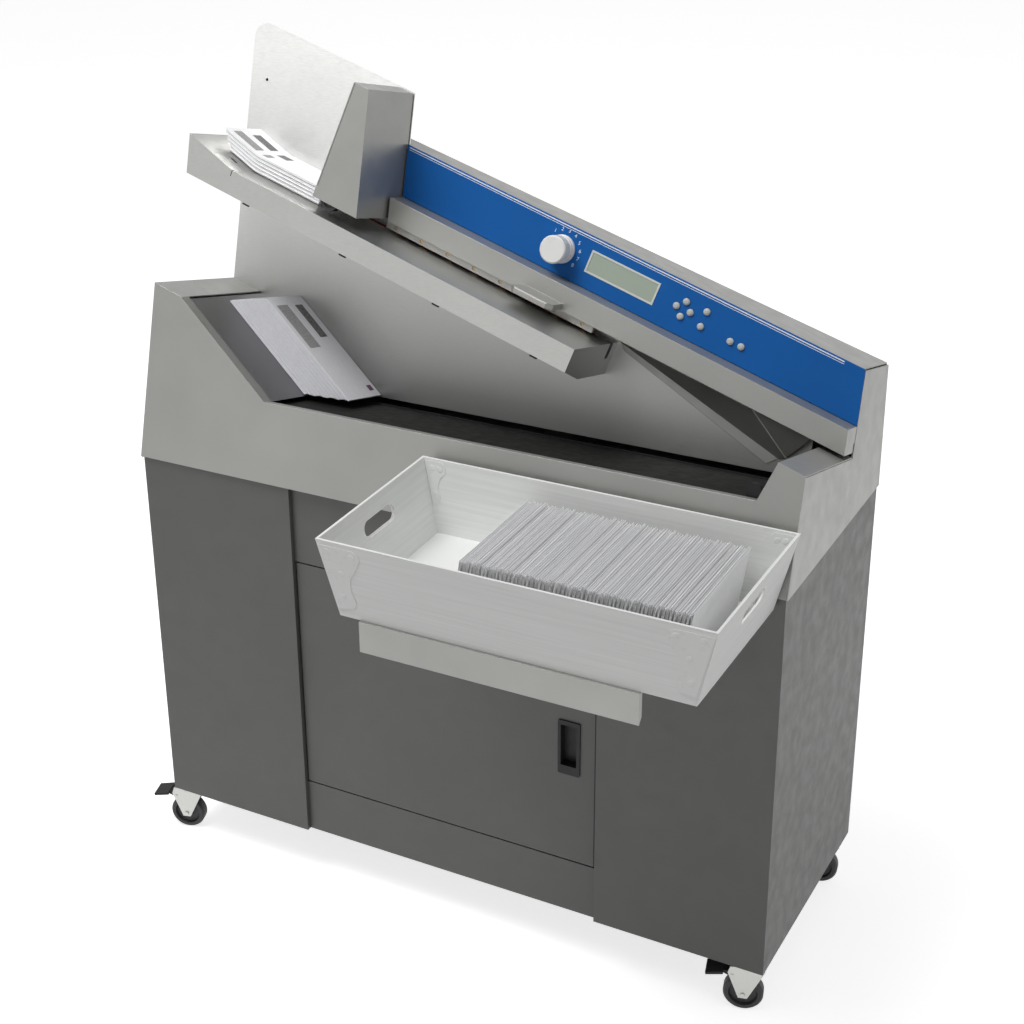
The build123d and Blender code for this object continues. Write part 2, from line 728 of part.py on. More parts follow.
# ---- upper body, tilt frame ----
def fascia():
    """Front panel with its folded cap, ramp border, gutter lip and cheek."""
    outline = [
        (-BODY_X, 0),
        (-BODY_X, CAP_TOP_U),
        (CAP_INNER_X, CAP_INNER_U),
        (RAMP_FOOT_X, GUTTER_U),
        (CHEEK_FOOT_X, GUTTER_U),
        (CHEEK_TOP_X, CHEEK_TOP_U),
        (BODY_X, CHEEK_OUT_U),
        (BODY_X, 0),
    ]
    panel = prism_y(outline, 0, SHEET)
    top = outline[1:7]
    border = folded_sheet(top, 0, GUTTER_LIP)
    cap = folded_sheet([top[0], top[1]], 0, PLATE_B - RUN_GAP)
    cheek = folded_sheet([top[3], top[4], top[5]], 0, PANEL_B)
    ramp_edge = folded_sheet([top[1], top[2]], 0, RAMP_BORDER)
    lip = block(RAMP_FOOT_X + 8, CHEEK_FOOT_X - 6, GUTTER_LIP - SHEET, GUTTER_LIP, GUTTER_U - 16, GUTTER_U)
    return panel + border + cap + cheek + ramp_edge + lip


def ramp_plate():
    """Bare metal slide under the ramp's border, seated against its underside."""
    foot = (RAMP_FOOT_X, GUTTER_U)
    head = (CAP_INNER_X, CAP_INNER_U)

    def at(share):
        return head[0] + share * (foot[0] - head[0]), head[1] + share * (foot[1] - head[1])

    outer = offset_path([at(0.015), foot], SHEET)
    plate = folded_sheet(outer, RAMP_BORDER - RAMP_LAP, PLATE_B - RUN_GAP, RAMP_T)
    for share in (0.31, 0.72):
        x, u = at(share)
        screw = Pos(0, 0, -SHEET) * Cylinder(SCREW_R, RAMP_T + 0.1)
        plate += Pos(x, RAMP_BORDER + 17, u) * Rotation(0, degrees(RAMP_ANGLE), 0) * screw
    return plate


def side_outline(front_u, step_b, step_u, top_u, rear_b):
    """World (y, z) outline of a side plate, from tilt-frame corners."""
    front = SHEET + RUN_GAP
    low_z = CABINET_TOP - 1.4
    corners = [(front, front_u), (step_b, step_u), (step_b, top_u), (rear_b, top_u)]
    outline = [to_yz(b, u) for b, u in corners]
    base_y = FASCIA_Y + front / cos(LEAN_R)
    return [(base_y, low_z)] + outline + [(REAR_Y, low_z)]


def housing_top_b(x):
    """Depth b at which the housing's sloping top meets the upright rear wall."""
    u = u_at(x, PANEL_N1)
    return (REAR_Y - FASCIA_Y - u * sin(LEAN_R)) / cos(LEAN_R)


def side_plates():
    """The two end plates of the upper body, outside the cabinet's flanks."""
    inside = HALF_W + RUN_GAP
    left_u = u_at(-BODY_X, PANEL_N1) - RUN_GAP
    right_u = u_at(BODY_X, PANEL_N1) - SHEET - RUN_GAP
    cap_u = CAP_TOP_U - 3.5
    left = prism_x(side_outline(cap_u, PLATE_B, cap_u, left_u, housing_top_b(-BODY_X)), -BODY_X, -inside)
    slot = block(-BODY_X - 1, -inside + 1, PLATE_B - RUN_GAP, PLATE_B + SHEET + RUN_GAP, GUTTER_U - 1, 900)
    slot_cut = TILT * slot
    left -= slot_cut
    cheek_u = CHEEK_OUT_U - SHEET - RUN_GAP
    step_b = PANEL_B + PANEL_T + RUN_GAP
    right = prism_x(side_outline(cheek_u, step_b, cheek_u, right_u, housing_top_b(BODY_X)), inside, BODY_X)
    return together(left, right)


def control_housing():
    """Sloping top and upright rear wall in one folded sheet, with vents in the rear."""
    low_z = CABINET_TOP + RUN_GAP
    front_b = PANEL_B + PANEL_T + RUN_GAP
    high = 1400.0
    limit = TILT * (Rotation(0, FEED_SLOPE, 0) * block(-900, 900, -600, 900, -1200, PANEL_N1))
    limit_in = TILT * (Rotation(0, FEED_SLOPE, 0) * block(-900, 900, -600, 900, -1200, PANEL_N1 - SHEET))
    outer = block(-HALF_W, HALF_W, -HALF_D, REAR_Y, low_z, high)
    inner = block(-HALF_W - 1, HALF_W + 1, -HALF_D - 1, REAR_Y - SHEET, low_z - 1, high)
    shell = (outer & limit) - (inner & limit_in)
    right_front = TILT * block(FEEDER_X1 + SIDE_GAP, HALF_W + 1, front_b, 900, -200, 900)
    left_front = TILT * block(-HALF_W - 1, FEEDER_X1 + SIDE_GAP, PLATE_B + SHEET + RUN_GAP, 900, -200, 900)
    shell &= right_front + left_front
    flange = block(-900, 900, front_b, front_b + SHEET, PANEL_N1 - 12, PANEL_N1 - 1)
    flange = TILT * (Rotation(0, FEED_SLOPE, 0) * flange)
    keep = block(-HALF_W, HALF_W, -HALF_D, REAR_Y, low_z, high) & right_front
    shell += flange & keep
    wide = HOUSING_VENT_W / 2
    for column in (-HOUSING_VENT_STEP, 0, HOUSING_VENT_STEP):
        for row in range(HOUSING_VENT_ROWS):
            z = CABINET_TOP + HOUSING_VENT_FOOT + HOUSING_VENT_PITCH * row
            shell -= block(column - wide, column + wide, REAR_Y - 5, REAR_Y + 1, z, z + VENT_H)
    return shell - inlet_block(INLET_W, INLET_H, REAR_Y - 5, REAR_Y + 1)


def inlet_block(width, height, y0, y1):
    """A block centred on the mains inlet in the rear wall."""
    half_w = width / 2
    half_h = height / 2
    return block(INLET_X - half_w, INLET_X + half_w, y0, y1, INLET_Z - half_h, INLET_Z + half_h)


def back_plate():
    """Tall bright fence behind the feed table, with its shaft holes and cutter slot."""
    x0 = -BODY_X - PLATE_OVERHANG
    low_u = GUTTER_U + 1
    step_x = FEEDER_X1 + SIDE_GAP / 2
    under_n = COVER_N1 - 3
    x1 = CHEEK_FOOT_X
    outline = [
        (x0, low_u),
        (x0, u_at(x0, PLATE_TOP_N)),
        (step_x, u_at(step_x, PLATE_TOP_N)),
        (step_x, u_at(step_x, under_n)),
        (x1, u_at(x1, under_n)),
        (x1, low_u),
    ]
    plate = prism_y(outline, PLATE_B, PLATE_B + SHEET)
    corner = plate.edges().filter_by(Axis.Y).sort_by(Axis.Z)[-1]
    plate = fillet(corner, PLATE_CORNER_R)
    hang_x = x0 + HANG_HOLE_IN
    hang_u = u_at(hang_x, PLATE_TOP_N) - HANG_HOLE_DOWN
    plate -= rod_y(HANG_HOLE_R, hang_x, PLATE_B - 1, PLATE_B + 5, hang_u)
    holes = rod_y(SHAFT_R + SHAFT_GAP, BELT_S0, PLATE_B - 1, PLATE_B + 5, PULLEY_N)
    holes += rod_y(SHAFT_R + SHAFT_GAP, BELT_S1, PLATE_B - 1, PLATE_B + 5, PULLEY_N)
    slot_w = 20.0
    slot = block(
        CUTTER_S - slot_w, CUTTER_S + slot_w, PLATE_B - 1, PLATE_B + 5, CUTTER_N - 1, CUTTER_N + CUTTER_T + 1
    )
    plate -= Rotation(0, FEED_SLOPE, 0) * (holes + slot)
    lugs = Rotation(0, FEED_SLOPE, 0) * cover_lugs()
    return plate + lugs


def cover_lugs():
    """Hinge lugs and rods that carry the transport cover, feed frame."""
    b, n = COVER_AXIS
    lugs = None
    for s in LUG_S:
        lug = block(s - LUG_W / 2, s + LUG_W / 2, b - 4, PLATE_B + 0.5, n - 6, n + 2)
        lug += rod_x(HINGE_ROD_R, s - 15, s + 15, b, n)
        lugs = lug if lugs is None else lugs + lug
    return lugs


# ---- feed table and transport, feed frame ----
def feed_deck():
    """Long hollow table with a folded lip and the belt's rail, and the raised flap left of it."""
    s0 = -760.0
    section = [
        (DECK_B0, DECK_LIP_N),
        (DECK_B0, DECK_N),
        (DECK_B1, DECK_N),
        (DECK_B1, RAIL_N),
        (LEDGE_B, RAIL_N),
        (LEDGE_B, DECK_N),
        (PLATE_B, DECK_N),
        (PLATE_B, DECK_BOTTOM_N),
        (DECK_BEND_B, DECK_BOTTOM_N),
    ]
    deck = prism_x(section, s0, DECK_S1)
    hollow = [
        (DECK_B0 + SHEET, DECK_LIP_N + 1.5),
        (DECK_B0 + SHEET, DECK_N - SHEET),
        (DECK_B1 - SHEET, DECK_N - SHEET),
        (DECK_B1 - SHEET, DECK_BOTTOM_N + SHEET),
        (DECK_BEND_B + 0.5, DECK_BOTTOM_N + SHEET),
    ]
    deck -= prism_x(hollow, FLAP_KINK_S - FLAP_HOLLOW_L, DECK_S1 - SHEET)
    rise = (FLAP_KINK_S - s0) * tan(radians(FLAP_ANGLE))
    wedge = [(FLAP_KINK_S, DECK_N), (s0, DECK_N), (s0, DECK_N + rise)]
    deck += prism_y(wedge, DECK_B0, LEDGE_B)
    deck += prism_y(wedge, LEDGE_B - 0.1, PLATE_B)
    deck -= left_of(-BODY_X - PLATE_OVERHANG)
    for b in SLOT_B:
        length = SLOT_L / 2
        width = SLOT_W / 2
        deck -= block(SLOT_S - length, SLOT_S + length, b - width, b + width, DECK_N - 2, DECK_N + 30)
    deck -= block(FLAP_KINK_S - 4, FLAP_KINK_S - 2.6, DECK_B0 - 1, DECK_B0 + 8, DECK_N - 9, DECK_N + 5)
    for s in (BELT_S0, BELT_S1):
        deck -= rod_y(SHAFT_R + SHAFT_GAP, s, LEDGE_B - 1, PLATE_B + 1, PULLEY_N)
    right = block(FLAP_KINK_S, DECK_S1 + 1, 0, PLATE_B + 1, 0, DECK_N + 100)
    return together(deck & right, deck - right)


def transport_belt():
    return belt_loop(BELT_S0, BELT_S1, PULLEY_N, PULLEY_R + RUN_GAP, BELT_T, BELT_B0, BELT_B1)


def belt_pulley(s):
    pulley = rod_y(PULLEY_R, s, BELT_B0, BELT_B1, PULLEY_N)
    return pulley + rod_y(SHAFT_R, s, BELT_B0, PLATE_B + SHEET + 14, PULLEY_N)


def roller_places():
    return [ROLLER_S0 + ROLLER_PITCH * i for i in range(STATIONS) if i != CUTTER_STATION]


def transport_cover():
    """Hinged channel over the feed path, with the rollers' hanger and the cutter guard."""
    s0 = -460.0
    s1 = 640.0
    wall = SHEET
    outer = block(s0, s1, COVER_B0, COVER_B1, COVER_N0, COVER_N1)
    cover = outer & left_of(BODY_X)
    left_end = FEEDER_X1 + COVER_SIDE_GAP
    cover -= left_of(left_end)
    hollow = block(s0, s1, COVER_B0 + wall, COVER_B1 - wall, COVER_N0 - 1, COVER_N1 - wall)
    hollow = (hollow & left_of(BODY_X - wall)) - left_of(left_end + wall)
    cover -= hollow
    cover -= block(s0, s1, COVER_B1 - 4, COVER_B1 + 1, COVER_N0 - 1, COVER_N1 - 24)
    hanger_end = ROLLER_S0 + ROLLER_PITCH * (STATIONS - 1) + 20
    cover += block(
        ROLLER_S0 - 18, hanger_end, HANGER_B, HANGER_B + HANGER_T, ROLLER_N - 6, COVER_N1 - wall + 0.5
    )
    for s in roller_places():
        cover -= rod_y(ROLLER_AXLE_R + SHAFT_GAP, s, HANGER_B - 1, HANGER_B + HANGER_T + 1, ROLLER_N)
    b, n = COVER_AXIS
    for s in LUG_S:
        slot = LUG_W / 2 + 2
        cover -= block(s - slot, s + slot, b - 12, COVER_B1 + 1, n - 20, COVER_N1 - 1)
        for s_end in (s - LUG_W / 2 - 5, s + LUG_W / 2 + 5):
            half = KNUCKLE_W / 2
            knuckle = block(s_end - half, s_end + half, b - 6, COVER_B1 - 0.5, n - 6, COVER_N1 - 0.5)
            cover += knuckle - rod_x(HINGE_ROD_R + SHAFT_GAP, s_end - 3, s_end + 3, b, n)
    return together(cover, cutter_guard())


def cutter_guard():
    """Chamfered finger guard that stands out over the cutter, seated on the cover's front."""
    front = COVER_B0 - GUARD_REACH
    left = CUTTER_S + GUARD_OFF - GUARD_L / 2
    right = left + GUARD_L
    plan = [
        (left, COVER_B0),
        (left, front + 7),
        (left + 7, front),
        (right - 10, front),
        (right, front + 10),
        (right, COVER_B0),
    ]
    outline = Polyline(*[(s, b, COVER_N0 + 1.3) for s, b in plan], close=True)
    guard = extrude(make_face(outline), amount=GUARD_T, dir=(0, 0, 1))
    return chamfer(guard.faces().sort_by(Axis.Z)[-1].edges().sort_by(Axis.Y)[0], 2)


def transport_roller(s):
    """Grooved pressure roller on its stub axle."""
    b1 = BELT_B1 + 2.5
    b0 = b1 - ROLLER_W
    roller = rod_y(ROLLER_R, s, b0, b1, ROLLER_N)
    ring = rod_y(ROLLER_R + 1, s, b1 - 3.5, b1 - 2, ROLLER_N)
    roller -= ring - rod_y(ROLLER_R - 1.5, s, b1 - 4, b1 - 1, ROLLER_N)
    return roller + rod_y(ROLLER_AXLE_R, s, HANGER_B + 1, b1 + 1, ROLLER_N)


# ---- feeder, feed frame ----
def feeder_cover():
    """Five-sided hood over the separator, hinged along its top rear edge."""
    outer = block(FEEDER_S0, 100, FEEDER_B0, FEEDER_B1, FEEDER_N0, FEEDER_N1) & left_of(FEEDER_X1)
    inner = block(FEEDER_S0 + SHEET, 100, FEEDER_B0 + SHEET, FEEDER_B1 + 1, FEEDER_N0 - 1, FEEDER_N1 - SHEET)
    inner &= left_of(FEEDER_X1 - SHEET)
    hood = outer - inner
    seam = (FEEDER_S0 + 1.6, FEEDER_S0 + 3.2)
    hood -= block(*seam, FEEDER_B0 - 1, FEEDER_B0 + 0.9, FEEDER_N0 + 18, FEEDER_N1 + 1)
    b, n = FEEDER_AXIS
    return hood - rod_x(FEEDER_HINGE_R + SHAFT_GAP, FEEDER_S0 - 5, 0, b, n)


def separator_frame():
    """Bracket on the fence that carries the feed roller and the hood's hinge pin."""
    face = PLATE_B
    front = face - SEPARATOR_D
    s0 = SEPARATOR_S0
    n0 = DECK_N + SEPARATOR_RISE
    n1 = n0 + SEPARATOR_H
    b, n = FEEDER_AXIS
    frame = block(s0, s0 + SEPARATOR_L, front, face, n0, n1) & left_of(FEEDER_X1 - SHEET - 3)
    half = ARM_W
    hanger = FEED_ROLLER_N - 9
    frame += block(FEED_ROLLER_S - half, FEED_ROLLER_S + half, front - 18, front + 2, hanger, n0 + 8)
    arm_b = face - ARM_D
    frame += block(s0, s0 + ARM_W, arm_b, face, n1 - 10, n - 6)
    frame += block(s0, s0 + ARM_W, arm_b, b, n - 7, n + ARM_TIP_R)
    frame += block(s0, s0 + ARM_W, arm_b, b + ARM_TIP_R, n - 7, n)
    frame += rod_x(ARM_TIP_R, s0, s0 + ARM_W, b, n)
    frame += rod_x(FEEDER_HINGE_R, FEEDER_S0 + 0.1, feeder_pin_end(), b, n)
    return frame - rod_y(SHAFT_R + SHAFT_GAP, FEED_ROLLER_S, front - 32, front + 18, FEED_ROLLER_N)


def feeder_pin_end():
    """Where the hood's pin reaches the outside of its right wall."""
    return (FEEDER_X1 - FEEDER_AXIS[1] * sin(SLOPE_R)) / cos(SLOPE_R) - 0.6


def feed_roller():
    """Soft-tyred feed wheel with a stepped hub on its shaft."""
    b0 = FEEDER_B0 + SHEET + 2
    roller = rod_y(FEED_ROLLER_R, FEED_ROLLER_S, b0, b0 + FEED_ROLLER_W, FEED_ROLLER_N)
    roller -= rod_y(11, FEED_ROLLER_S, b0 - 1, b0 + 2, FEED_ROLLER_N)
    roller += rod_y(7, FEED_ROLLER_S, b0 + 0.5, b0 + 3, FEED_ROLLER_N)
    seat = PLATE_B - SEPARATOR_D + 1
    return roller + rod_y(SHAFT_R, FEED_ROLLER_S, b0 + 5, seat, FEED_ROLLER_N)


# ---- cutter and drives ----
def milling_cutter():
    """Toothed cutter wheel on its upright shaft, feed frame."""
    points = []
    for i in range(CUTTER_TEETH):
        turn = 360.0 / CUTTER_TEETH
        for share, radius in ((0.0, CUTTER_R - 3.5), (0.55, CUTTER_R), (0.8, CUTTER_R)):
            angle = radians(turn * (i + share))
            points.append((radius * cos(angle), radius * sin(angle)))
    outline = Polyline(*points, close=True)
    wheel = extrude(make_face(outline), amount=CUTTER_T)
    wheel += Pos(0, 0, CUTTER_T / 2 - 19) * Cylinder(CUTTER_SHAFT_R, 38 + CUTTER_T)
    return Pos(CUTTER_S, CUTTER_B, CUTTER_N) * wheel


def drive_motors():
    """Cutter motor, belt gear motor and conveyor gear motor."""
    shaft_b = PLATE_B + SHEET
    motor_top = CUTTER_N - CUTTER_MOTOR_DROP
    cutter_motor = rod_z(CUTTER_MOTOR_R, CUTTER_S, CUTTER_B, motor_top - CUTTER_MOTOR_H, motor_top)
    cutter_motor += block(CUTTER_S - 22, CUTTER_S + 22, shaft_b, CUTTER_B, motor_top - 60, motor_top - 20)
    cutter_motor -= rod_z(CUTTER_SHAFT_R + SHAFT_GAP, CUTTER_S, CUTTER_B, motor_top - 20, motor_top + 1)
    belt_motor = rod_y(BELT_MOTOR_R, BELT_S1, shaft_b, shaft_b + BELT_MOTOR_L, PULLEY_N)
    belt_motor -= rod_y(SHAFT_R + SHAFT_GAP, BELT_S1, shaft_b - 1, shaft_b + 20, PULLEY_N)
    u = conveyor_level()
    rail_b = CONVEYOR_B1 + 2 + RAIL_T
    conveyor_motor = rod_y(CONVEYOR_MOTOR_R, CONVEYOR_X1, rail_b, rail_b + CONVEYOR_MOTOR_L, u)
    conveyor_motor -= rod_y(SHAFT_R + SHAFT_GAP, CONVEYOR_X1, rail_b - 1, rail_b + 20, u)
    return together(FEED * cutter_motor, FEED * belt_motor, TILT * conveyor_motor)


# ---- control panel, feed frame ----
def button_places():
    places = {
        "button_left": (ARROW_S - ARROW_STEP, ARROW_N),
        "button_right": (ARROW_S + ARROW_STEP, ARROW_N),
        "button_up": (ARROW_S, ARROW_N + ARROW_STEP),
        "button_down": (ARROW_S, ARROW_N - ARROW_STEP),
        "button_menu": (PAIR_S, ARROW_N + ARROW_STEP),
        "button_enter": (PAIR_S, ARROW_N - ARROW_STEP),
        "button_start": (RUN_S, ARROW_N - ARROW_STEP),
        "button_stop": (RUN_S + RUN_STEP, ARROW_N - ARROW_STEP),
    }
    return places


def control_panel():
    """Front plate of the control housing, with its window, button and knob holes."""
    plate = block(-500, 700, PANEL_B, PANEL_B + PANEL_T, PANEL_N0, PANEL_N1) & left_of(BODY_X)
    plate -= left_of(FEEDER_X1 + SIDE_GAP)
    w = SCREEN_W / 2 - 2
    h = SCREEN_H / 2 - 2
    plate -= block(
        SCREEN_S - w, SCREEN_S + w, PANEL_B - 1, PANEL_B + PANEL_T + 1, SCREEN_N - h, SCREEN_N + h
    )
    for s, n in button_places().values():
        plate -= rod_y(BUTTON_R + RUN_GAP, s, PANEL_B - 1, PANEL_B + PANEL_T + 1, n)
    return plate - rod_y(KNOB_SHAFT_R + SHAFT_GAP, KNOB_S, PANEL_B - 1, PANEL_B + PANEL_T + 1, KNOB_N)


def display():
    """Screen with a thin raised bezel and its module behind the panel."""
    w = SCREEN_W / 2
    h = SCREEN_H / 2
    bezel = block(-w, w, -0.8, 0, -h, h)
    glass = block(-w + BEZEL, w - BEZEL, -0.8, PANEL_T, -h + BEZEL, h - BEZEL)
    recess = block(-w + 3, w - 3, -1, 0.2, -h + 3, h - 3)
    module = block(-w - 2, w + 2, PANEL_T, PANEL_T + 4, -h + 1, h - 1)
    return Pos(SCREEN_S, PANEL_B, SCREEN_N) * (bezel + glass + module - recess)


def knob():
    """Turned dial with a stepped skirt, grooved rings and a domed cap."""
    profile = [
        (0, 0.4),
        (KNOB_R, 0.4),
        (KNOB_R, 5),
        (KNOB_R - 2.2, 6.5),
        (KNOB_R - 2.2, 8.5),
        (KNOB_R - 0.6, 10),
        (KNOB_R - 0.6, 13),
        (KNOB_R - 2.4, 14.5),
        (KNOB_R - 2.4, 16.5),
        (KNOB_R - 0.8, 18),
        (KNOB_R - 0.8, KNOB_H - 2),
        (KNOB_R - 2.8, KNOB_H),
        (0, KNOB_H),
    ]
    outline = Polyline(*[(r, 0, z) for r, z in profile], close=True)
    body = revolve(make_face(outline), axis=Axis.Z)
    body -= block(-0.8, 0.8, KNOB_R - 12, KNOB_R - 1, KNOB_H - 0.8, KNOB_H + 1)
    body += Pos(0, 0, -4) * Cylinder(KNOB_SHAFT_R, 10)
    turn = Rotation(0, 0, 45)
    return Pos(KNOB_S, PANEL_B, KNOB_N) * Rotation(90, 0, 0) * turn * body


def button(place):
    """Domed push button with a retaining collar behind the panel."""
    s, n = place
    profile = [
        (0, -7),
        (3, -7),
        (3, -4.5),
        (BUTTON_R + 1.5, -4.5),
        (BUTTON_R + 1.5, -3.3),
        (BUTTON_R, -3.3),
        (BUTTON_R, 2),
        (BUTTON_R - 1.4, 3.3),
        (BUTTON_R - 3.2, BUTTON_OUT),
        (0, BUTTON_OUT),
    ]
    outline = Polyline(*[(r, 0, z) for r, z in profile], close=True)
    body = revolve(make_face(outline), axis=Axis.Z)
    return Pos(s, PANEL_B, n) * Rotation(90, 0, 0) * body


def electrics():
    """Key board behind the panel, power supply, and the rear mains inlet."""
    board_b = PANEL_B + PANEL_T + BOARD_GAP
    board = block(KNOB_S - 40, RUN_S + 50, board_b, board_b + BOARD_T, ARROW_N - 28, ARROW_N + 24)
    for s in (KNOB_S - 34, -34, RUN_S + 44):
        for n in (ARROW_N - 23, ARROW_N + 19):
            board += rod_y(2.5, s, PANEL_B + PANEL_T, board_b + 0.5, n)
    board -= rod_y(5, KNOB_S, board_b - 1, board_b + 3, KNOB_N)
    supply = block(-480, -300, 60, 160, CABINET_TOP, CABINET_TOP + 90)
    inlet = inlet_block(INLET_W - 2 * RUN_GAP, INLET_H - 2 * RUN_GAP, REAR_Y - 22, REAR_Y - 0.4)
    inlet += inlet_block(INLET_W + 12, INLET_H + 8, REAR_Y - SHEET - 2, REAR_Y - SHEET)
    inlet -= inlet_block(INLET_W - 6, INLET_H - 6, REAR_Y - 16, REAR_Y + 1)
    for dx in (-6, 0, 6):
        inlet += Pos(dx, 0, 0) * inlet_block(2, 6, REAR_Y - 17, REAR_Y - 4)
    return together(FEED * board, supply, inlet)


# ---- output conveyor and chute, tilt frame ----
def conveyor_level():
    return CONVEYOR_U - BELT_T - RUN_GAP - CONVEYOR_R


def conveyor_belt():
    inner = CONVEYOR_R + RUN_GAP
    return belt_loop(CONVEYOR_X0, CONVEYOR_X1, conveyor_level(), inner, BELT_T, CONVEYOR_B0, CONVEYOR_B1)


def conveyor_roller():
    u = conveyor_level()
    roller = rod_y(CONVEYOR_R, CONVEYOR_X1, CONVEYOR_B0 + 1, CONVEYOR_B1 - 1, u)
    return roller + rod_y(SHAFT_R, CONVEYOR_X1, CONVEYOR_B0 - 5, CONVEYOR_B1 + 20, u)


def conveyor_frame():
    """Two rails, the bed, the nose bar, the end bracket and the legs."""
    u = conveyor_level()
    front = CONVEYOR_B0 - 2
    rear = CONVEYOR_B1 + 2
    frame = block(CONVEYOR_X0 - 14, CONVEYOR_X1 + 14, front - RAIL_T, front, u - 14, CONVEYOR_U + 2)
    frame += block(CONVEYOR_X0 - 14, CONVEYOR_X1 + 14, rear, rear + RAIL_T, u - 14, CONVEYOR_U + 2)
    bed_top = CONVEYOR_U - BELT_T - RUN_GAP
    frame += block(CONVEYOR_X0, CONVEYOR_X1 - 30, front, rear, bed_top - 3, bed_top)
    nose = rod_y(CONVEYOR_R, CONVEYOR_X0, front - 1, rear + 1, u)
    frame += nose
    x0 = CONVEYOR_X1 + BRACKET_FROM_AXLE
    bracket = block(x0, x0 + BRACKET_W, front - BRACKET_D, front, u - 16, CONVEYOR_U + BRACKET_RISE)
    bracket = fillet(bracket.edges().filter_by(Axis.Y).sort_by(Axis.Z)[-2:], 9)
    frame += bracket
    for x in (CONVEYOR_X0 + 20, 80, CONVEYOR_X1 - 60):
        leg = LEG_W / 2
        frame += block(x - leg, x + leg, front - RAIL_T, front, -40, u)
        frame += block(x - leg, x + leg, rear, rear + RAIL_T, -40, u)
    frame -= rod_y(SHAFT_R + SHAFT_GAP, CONVEYOR_X1, front - 20, rear + 20, u)
    floor_cut = block(-900, 900, -600, 900, 0, CABINET_TOP)
    return (TILT * frame) - floor_cut


def plate_through(points, thickness):
    """A flat plate through its corners, thickened to the rear."""
    face = make_face(Polyline(*points, close=True)).faces()[0]
    normal = face.normal_at()
    sign = 1 if normal.Y > 0 else -1
    return extrude(face, amount=thickness, dir=normal * sign)


def chute_deflector():
    """Twice-folded sheet on the fence that turns the cut mail down on to the conveyor."""
    fence = PLATE_B - CHUTE_FLANGE_T
    head = Vector(CHUTE_HEAD_X, fence, GUTTER_U + CHUTE_HEAD_RISE)
    ridge = Vector(CHUTE_RIDGE_X, PLATE_B - CHUTE_OUT, GUTTER_U + CHUTE_RIDGE_RISE)
    toe = Vector(CHUTE_TOE_X, PLATE_B - CHUTE_TOE_OUT, GUTTER_U + CHUTE_TOE_RISE)
    wing = Vector(CHUTE_WING_X, PLATE_B - CHUTE_OUT, GUTTER_U + CHUTE_WING_RISE)
    normal = (ridge - head).cross(toe - head)
    foot = Vector(CHUTE_FOOT_X, fence, head.Z - (CHUTE_FOOT_X - head.X) * normal.X / normal.Z)
    deflector = plate_through([head, foot, toe, ridge], CHUTE_T)
    deflector += plate_through([ridge, toe, wing], CHUTE_T)
    fold = Plane(origin=ridge, z_dir=toe - ridge)
    deflector += extrude(fold * Circle(1.2), amount=(toe - ridge).length)
    flange = [
        (head.X, head.Z + 2.5),
        (foot.X, foot.Z + 2.5),
        (foot.X - 20, foot.Z - 10),
        (head.X + 10, head.Z - 14),
    ]
    return deflector + prism_y(flange, fence, PLATE_B)


def output_stack():
    """Pile of opened envelopes resting on the ramp against the fence."""
    foot = (RAMP_FOOT_X, GUTTER_U)
    direction = (cos(RAMP_ANGLE), -sin(RAMP_ANGLE))
    normal = (sin(RAMP_ANGLE), cos(RAMP_ANGLE))
    length = OUTPUT_STACK_L
    height = OUTPUT_STACK_T
    sink = -SHEET + RUN_GAP
    start = -length - 2.0

    def at(along, up):
        x = foot[0] + along * direction[0] + up * normal[0]
        return x, foot[1] + along * direction[1] + up * normal[1]

    outline = [at(start, sink), at(-2.0, sink), at(6.0, height), at(start + 8.0, height)]
    return prism_y(outline, PLATE_B - RUN_GAP - ENVELOPE_H, PLATE_B - RUN_GAP)


def feed_stack():
    """Pile of sealed envelopes at the feeder, bent up where it lies on the raised flap."""
    n0 = DECK_N + BELT_RISE + RUN_GAP
    n1 = n0 + FEED_STACK_T
    right = FEEDER_S0 - FEED_STACK_GAP
    left = right - ENVELOPE_L
    rise = tan(radians(FLAP_ANGLE))
    foot = left + 25
    outline = [
        (foot, n0 + (FLAP_KINK_S - foot) * rise),
        (FLAP_KINK_S, n0),
        (right, n0),
        (right, n1),
        (FLAP_KINK_S - 6, n1),
        (left, n1 + (FLAP_KINK_S - 6 - left) * rise),
    ]
    return prism_y(outline, PLATE_B - RUN_GAP - ENVELOPE_H, PLATE_B - RUN_GAP)


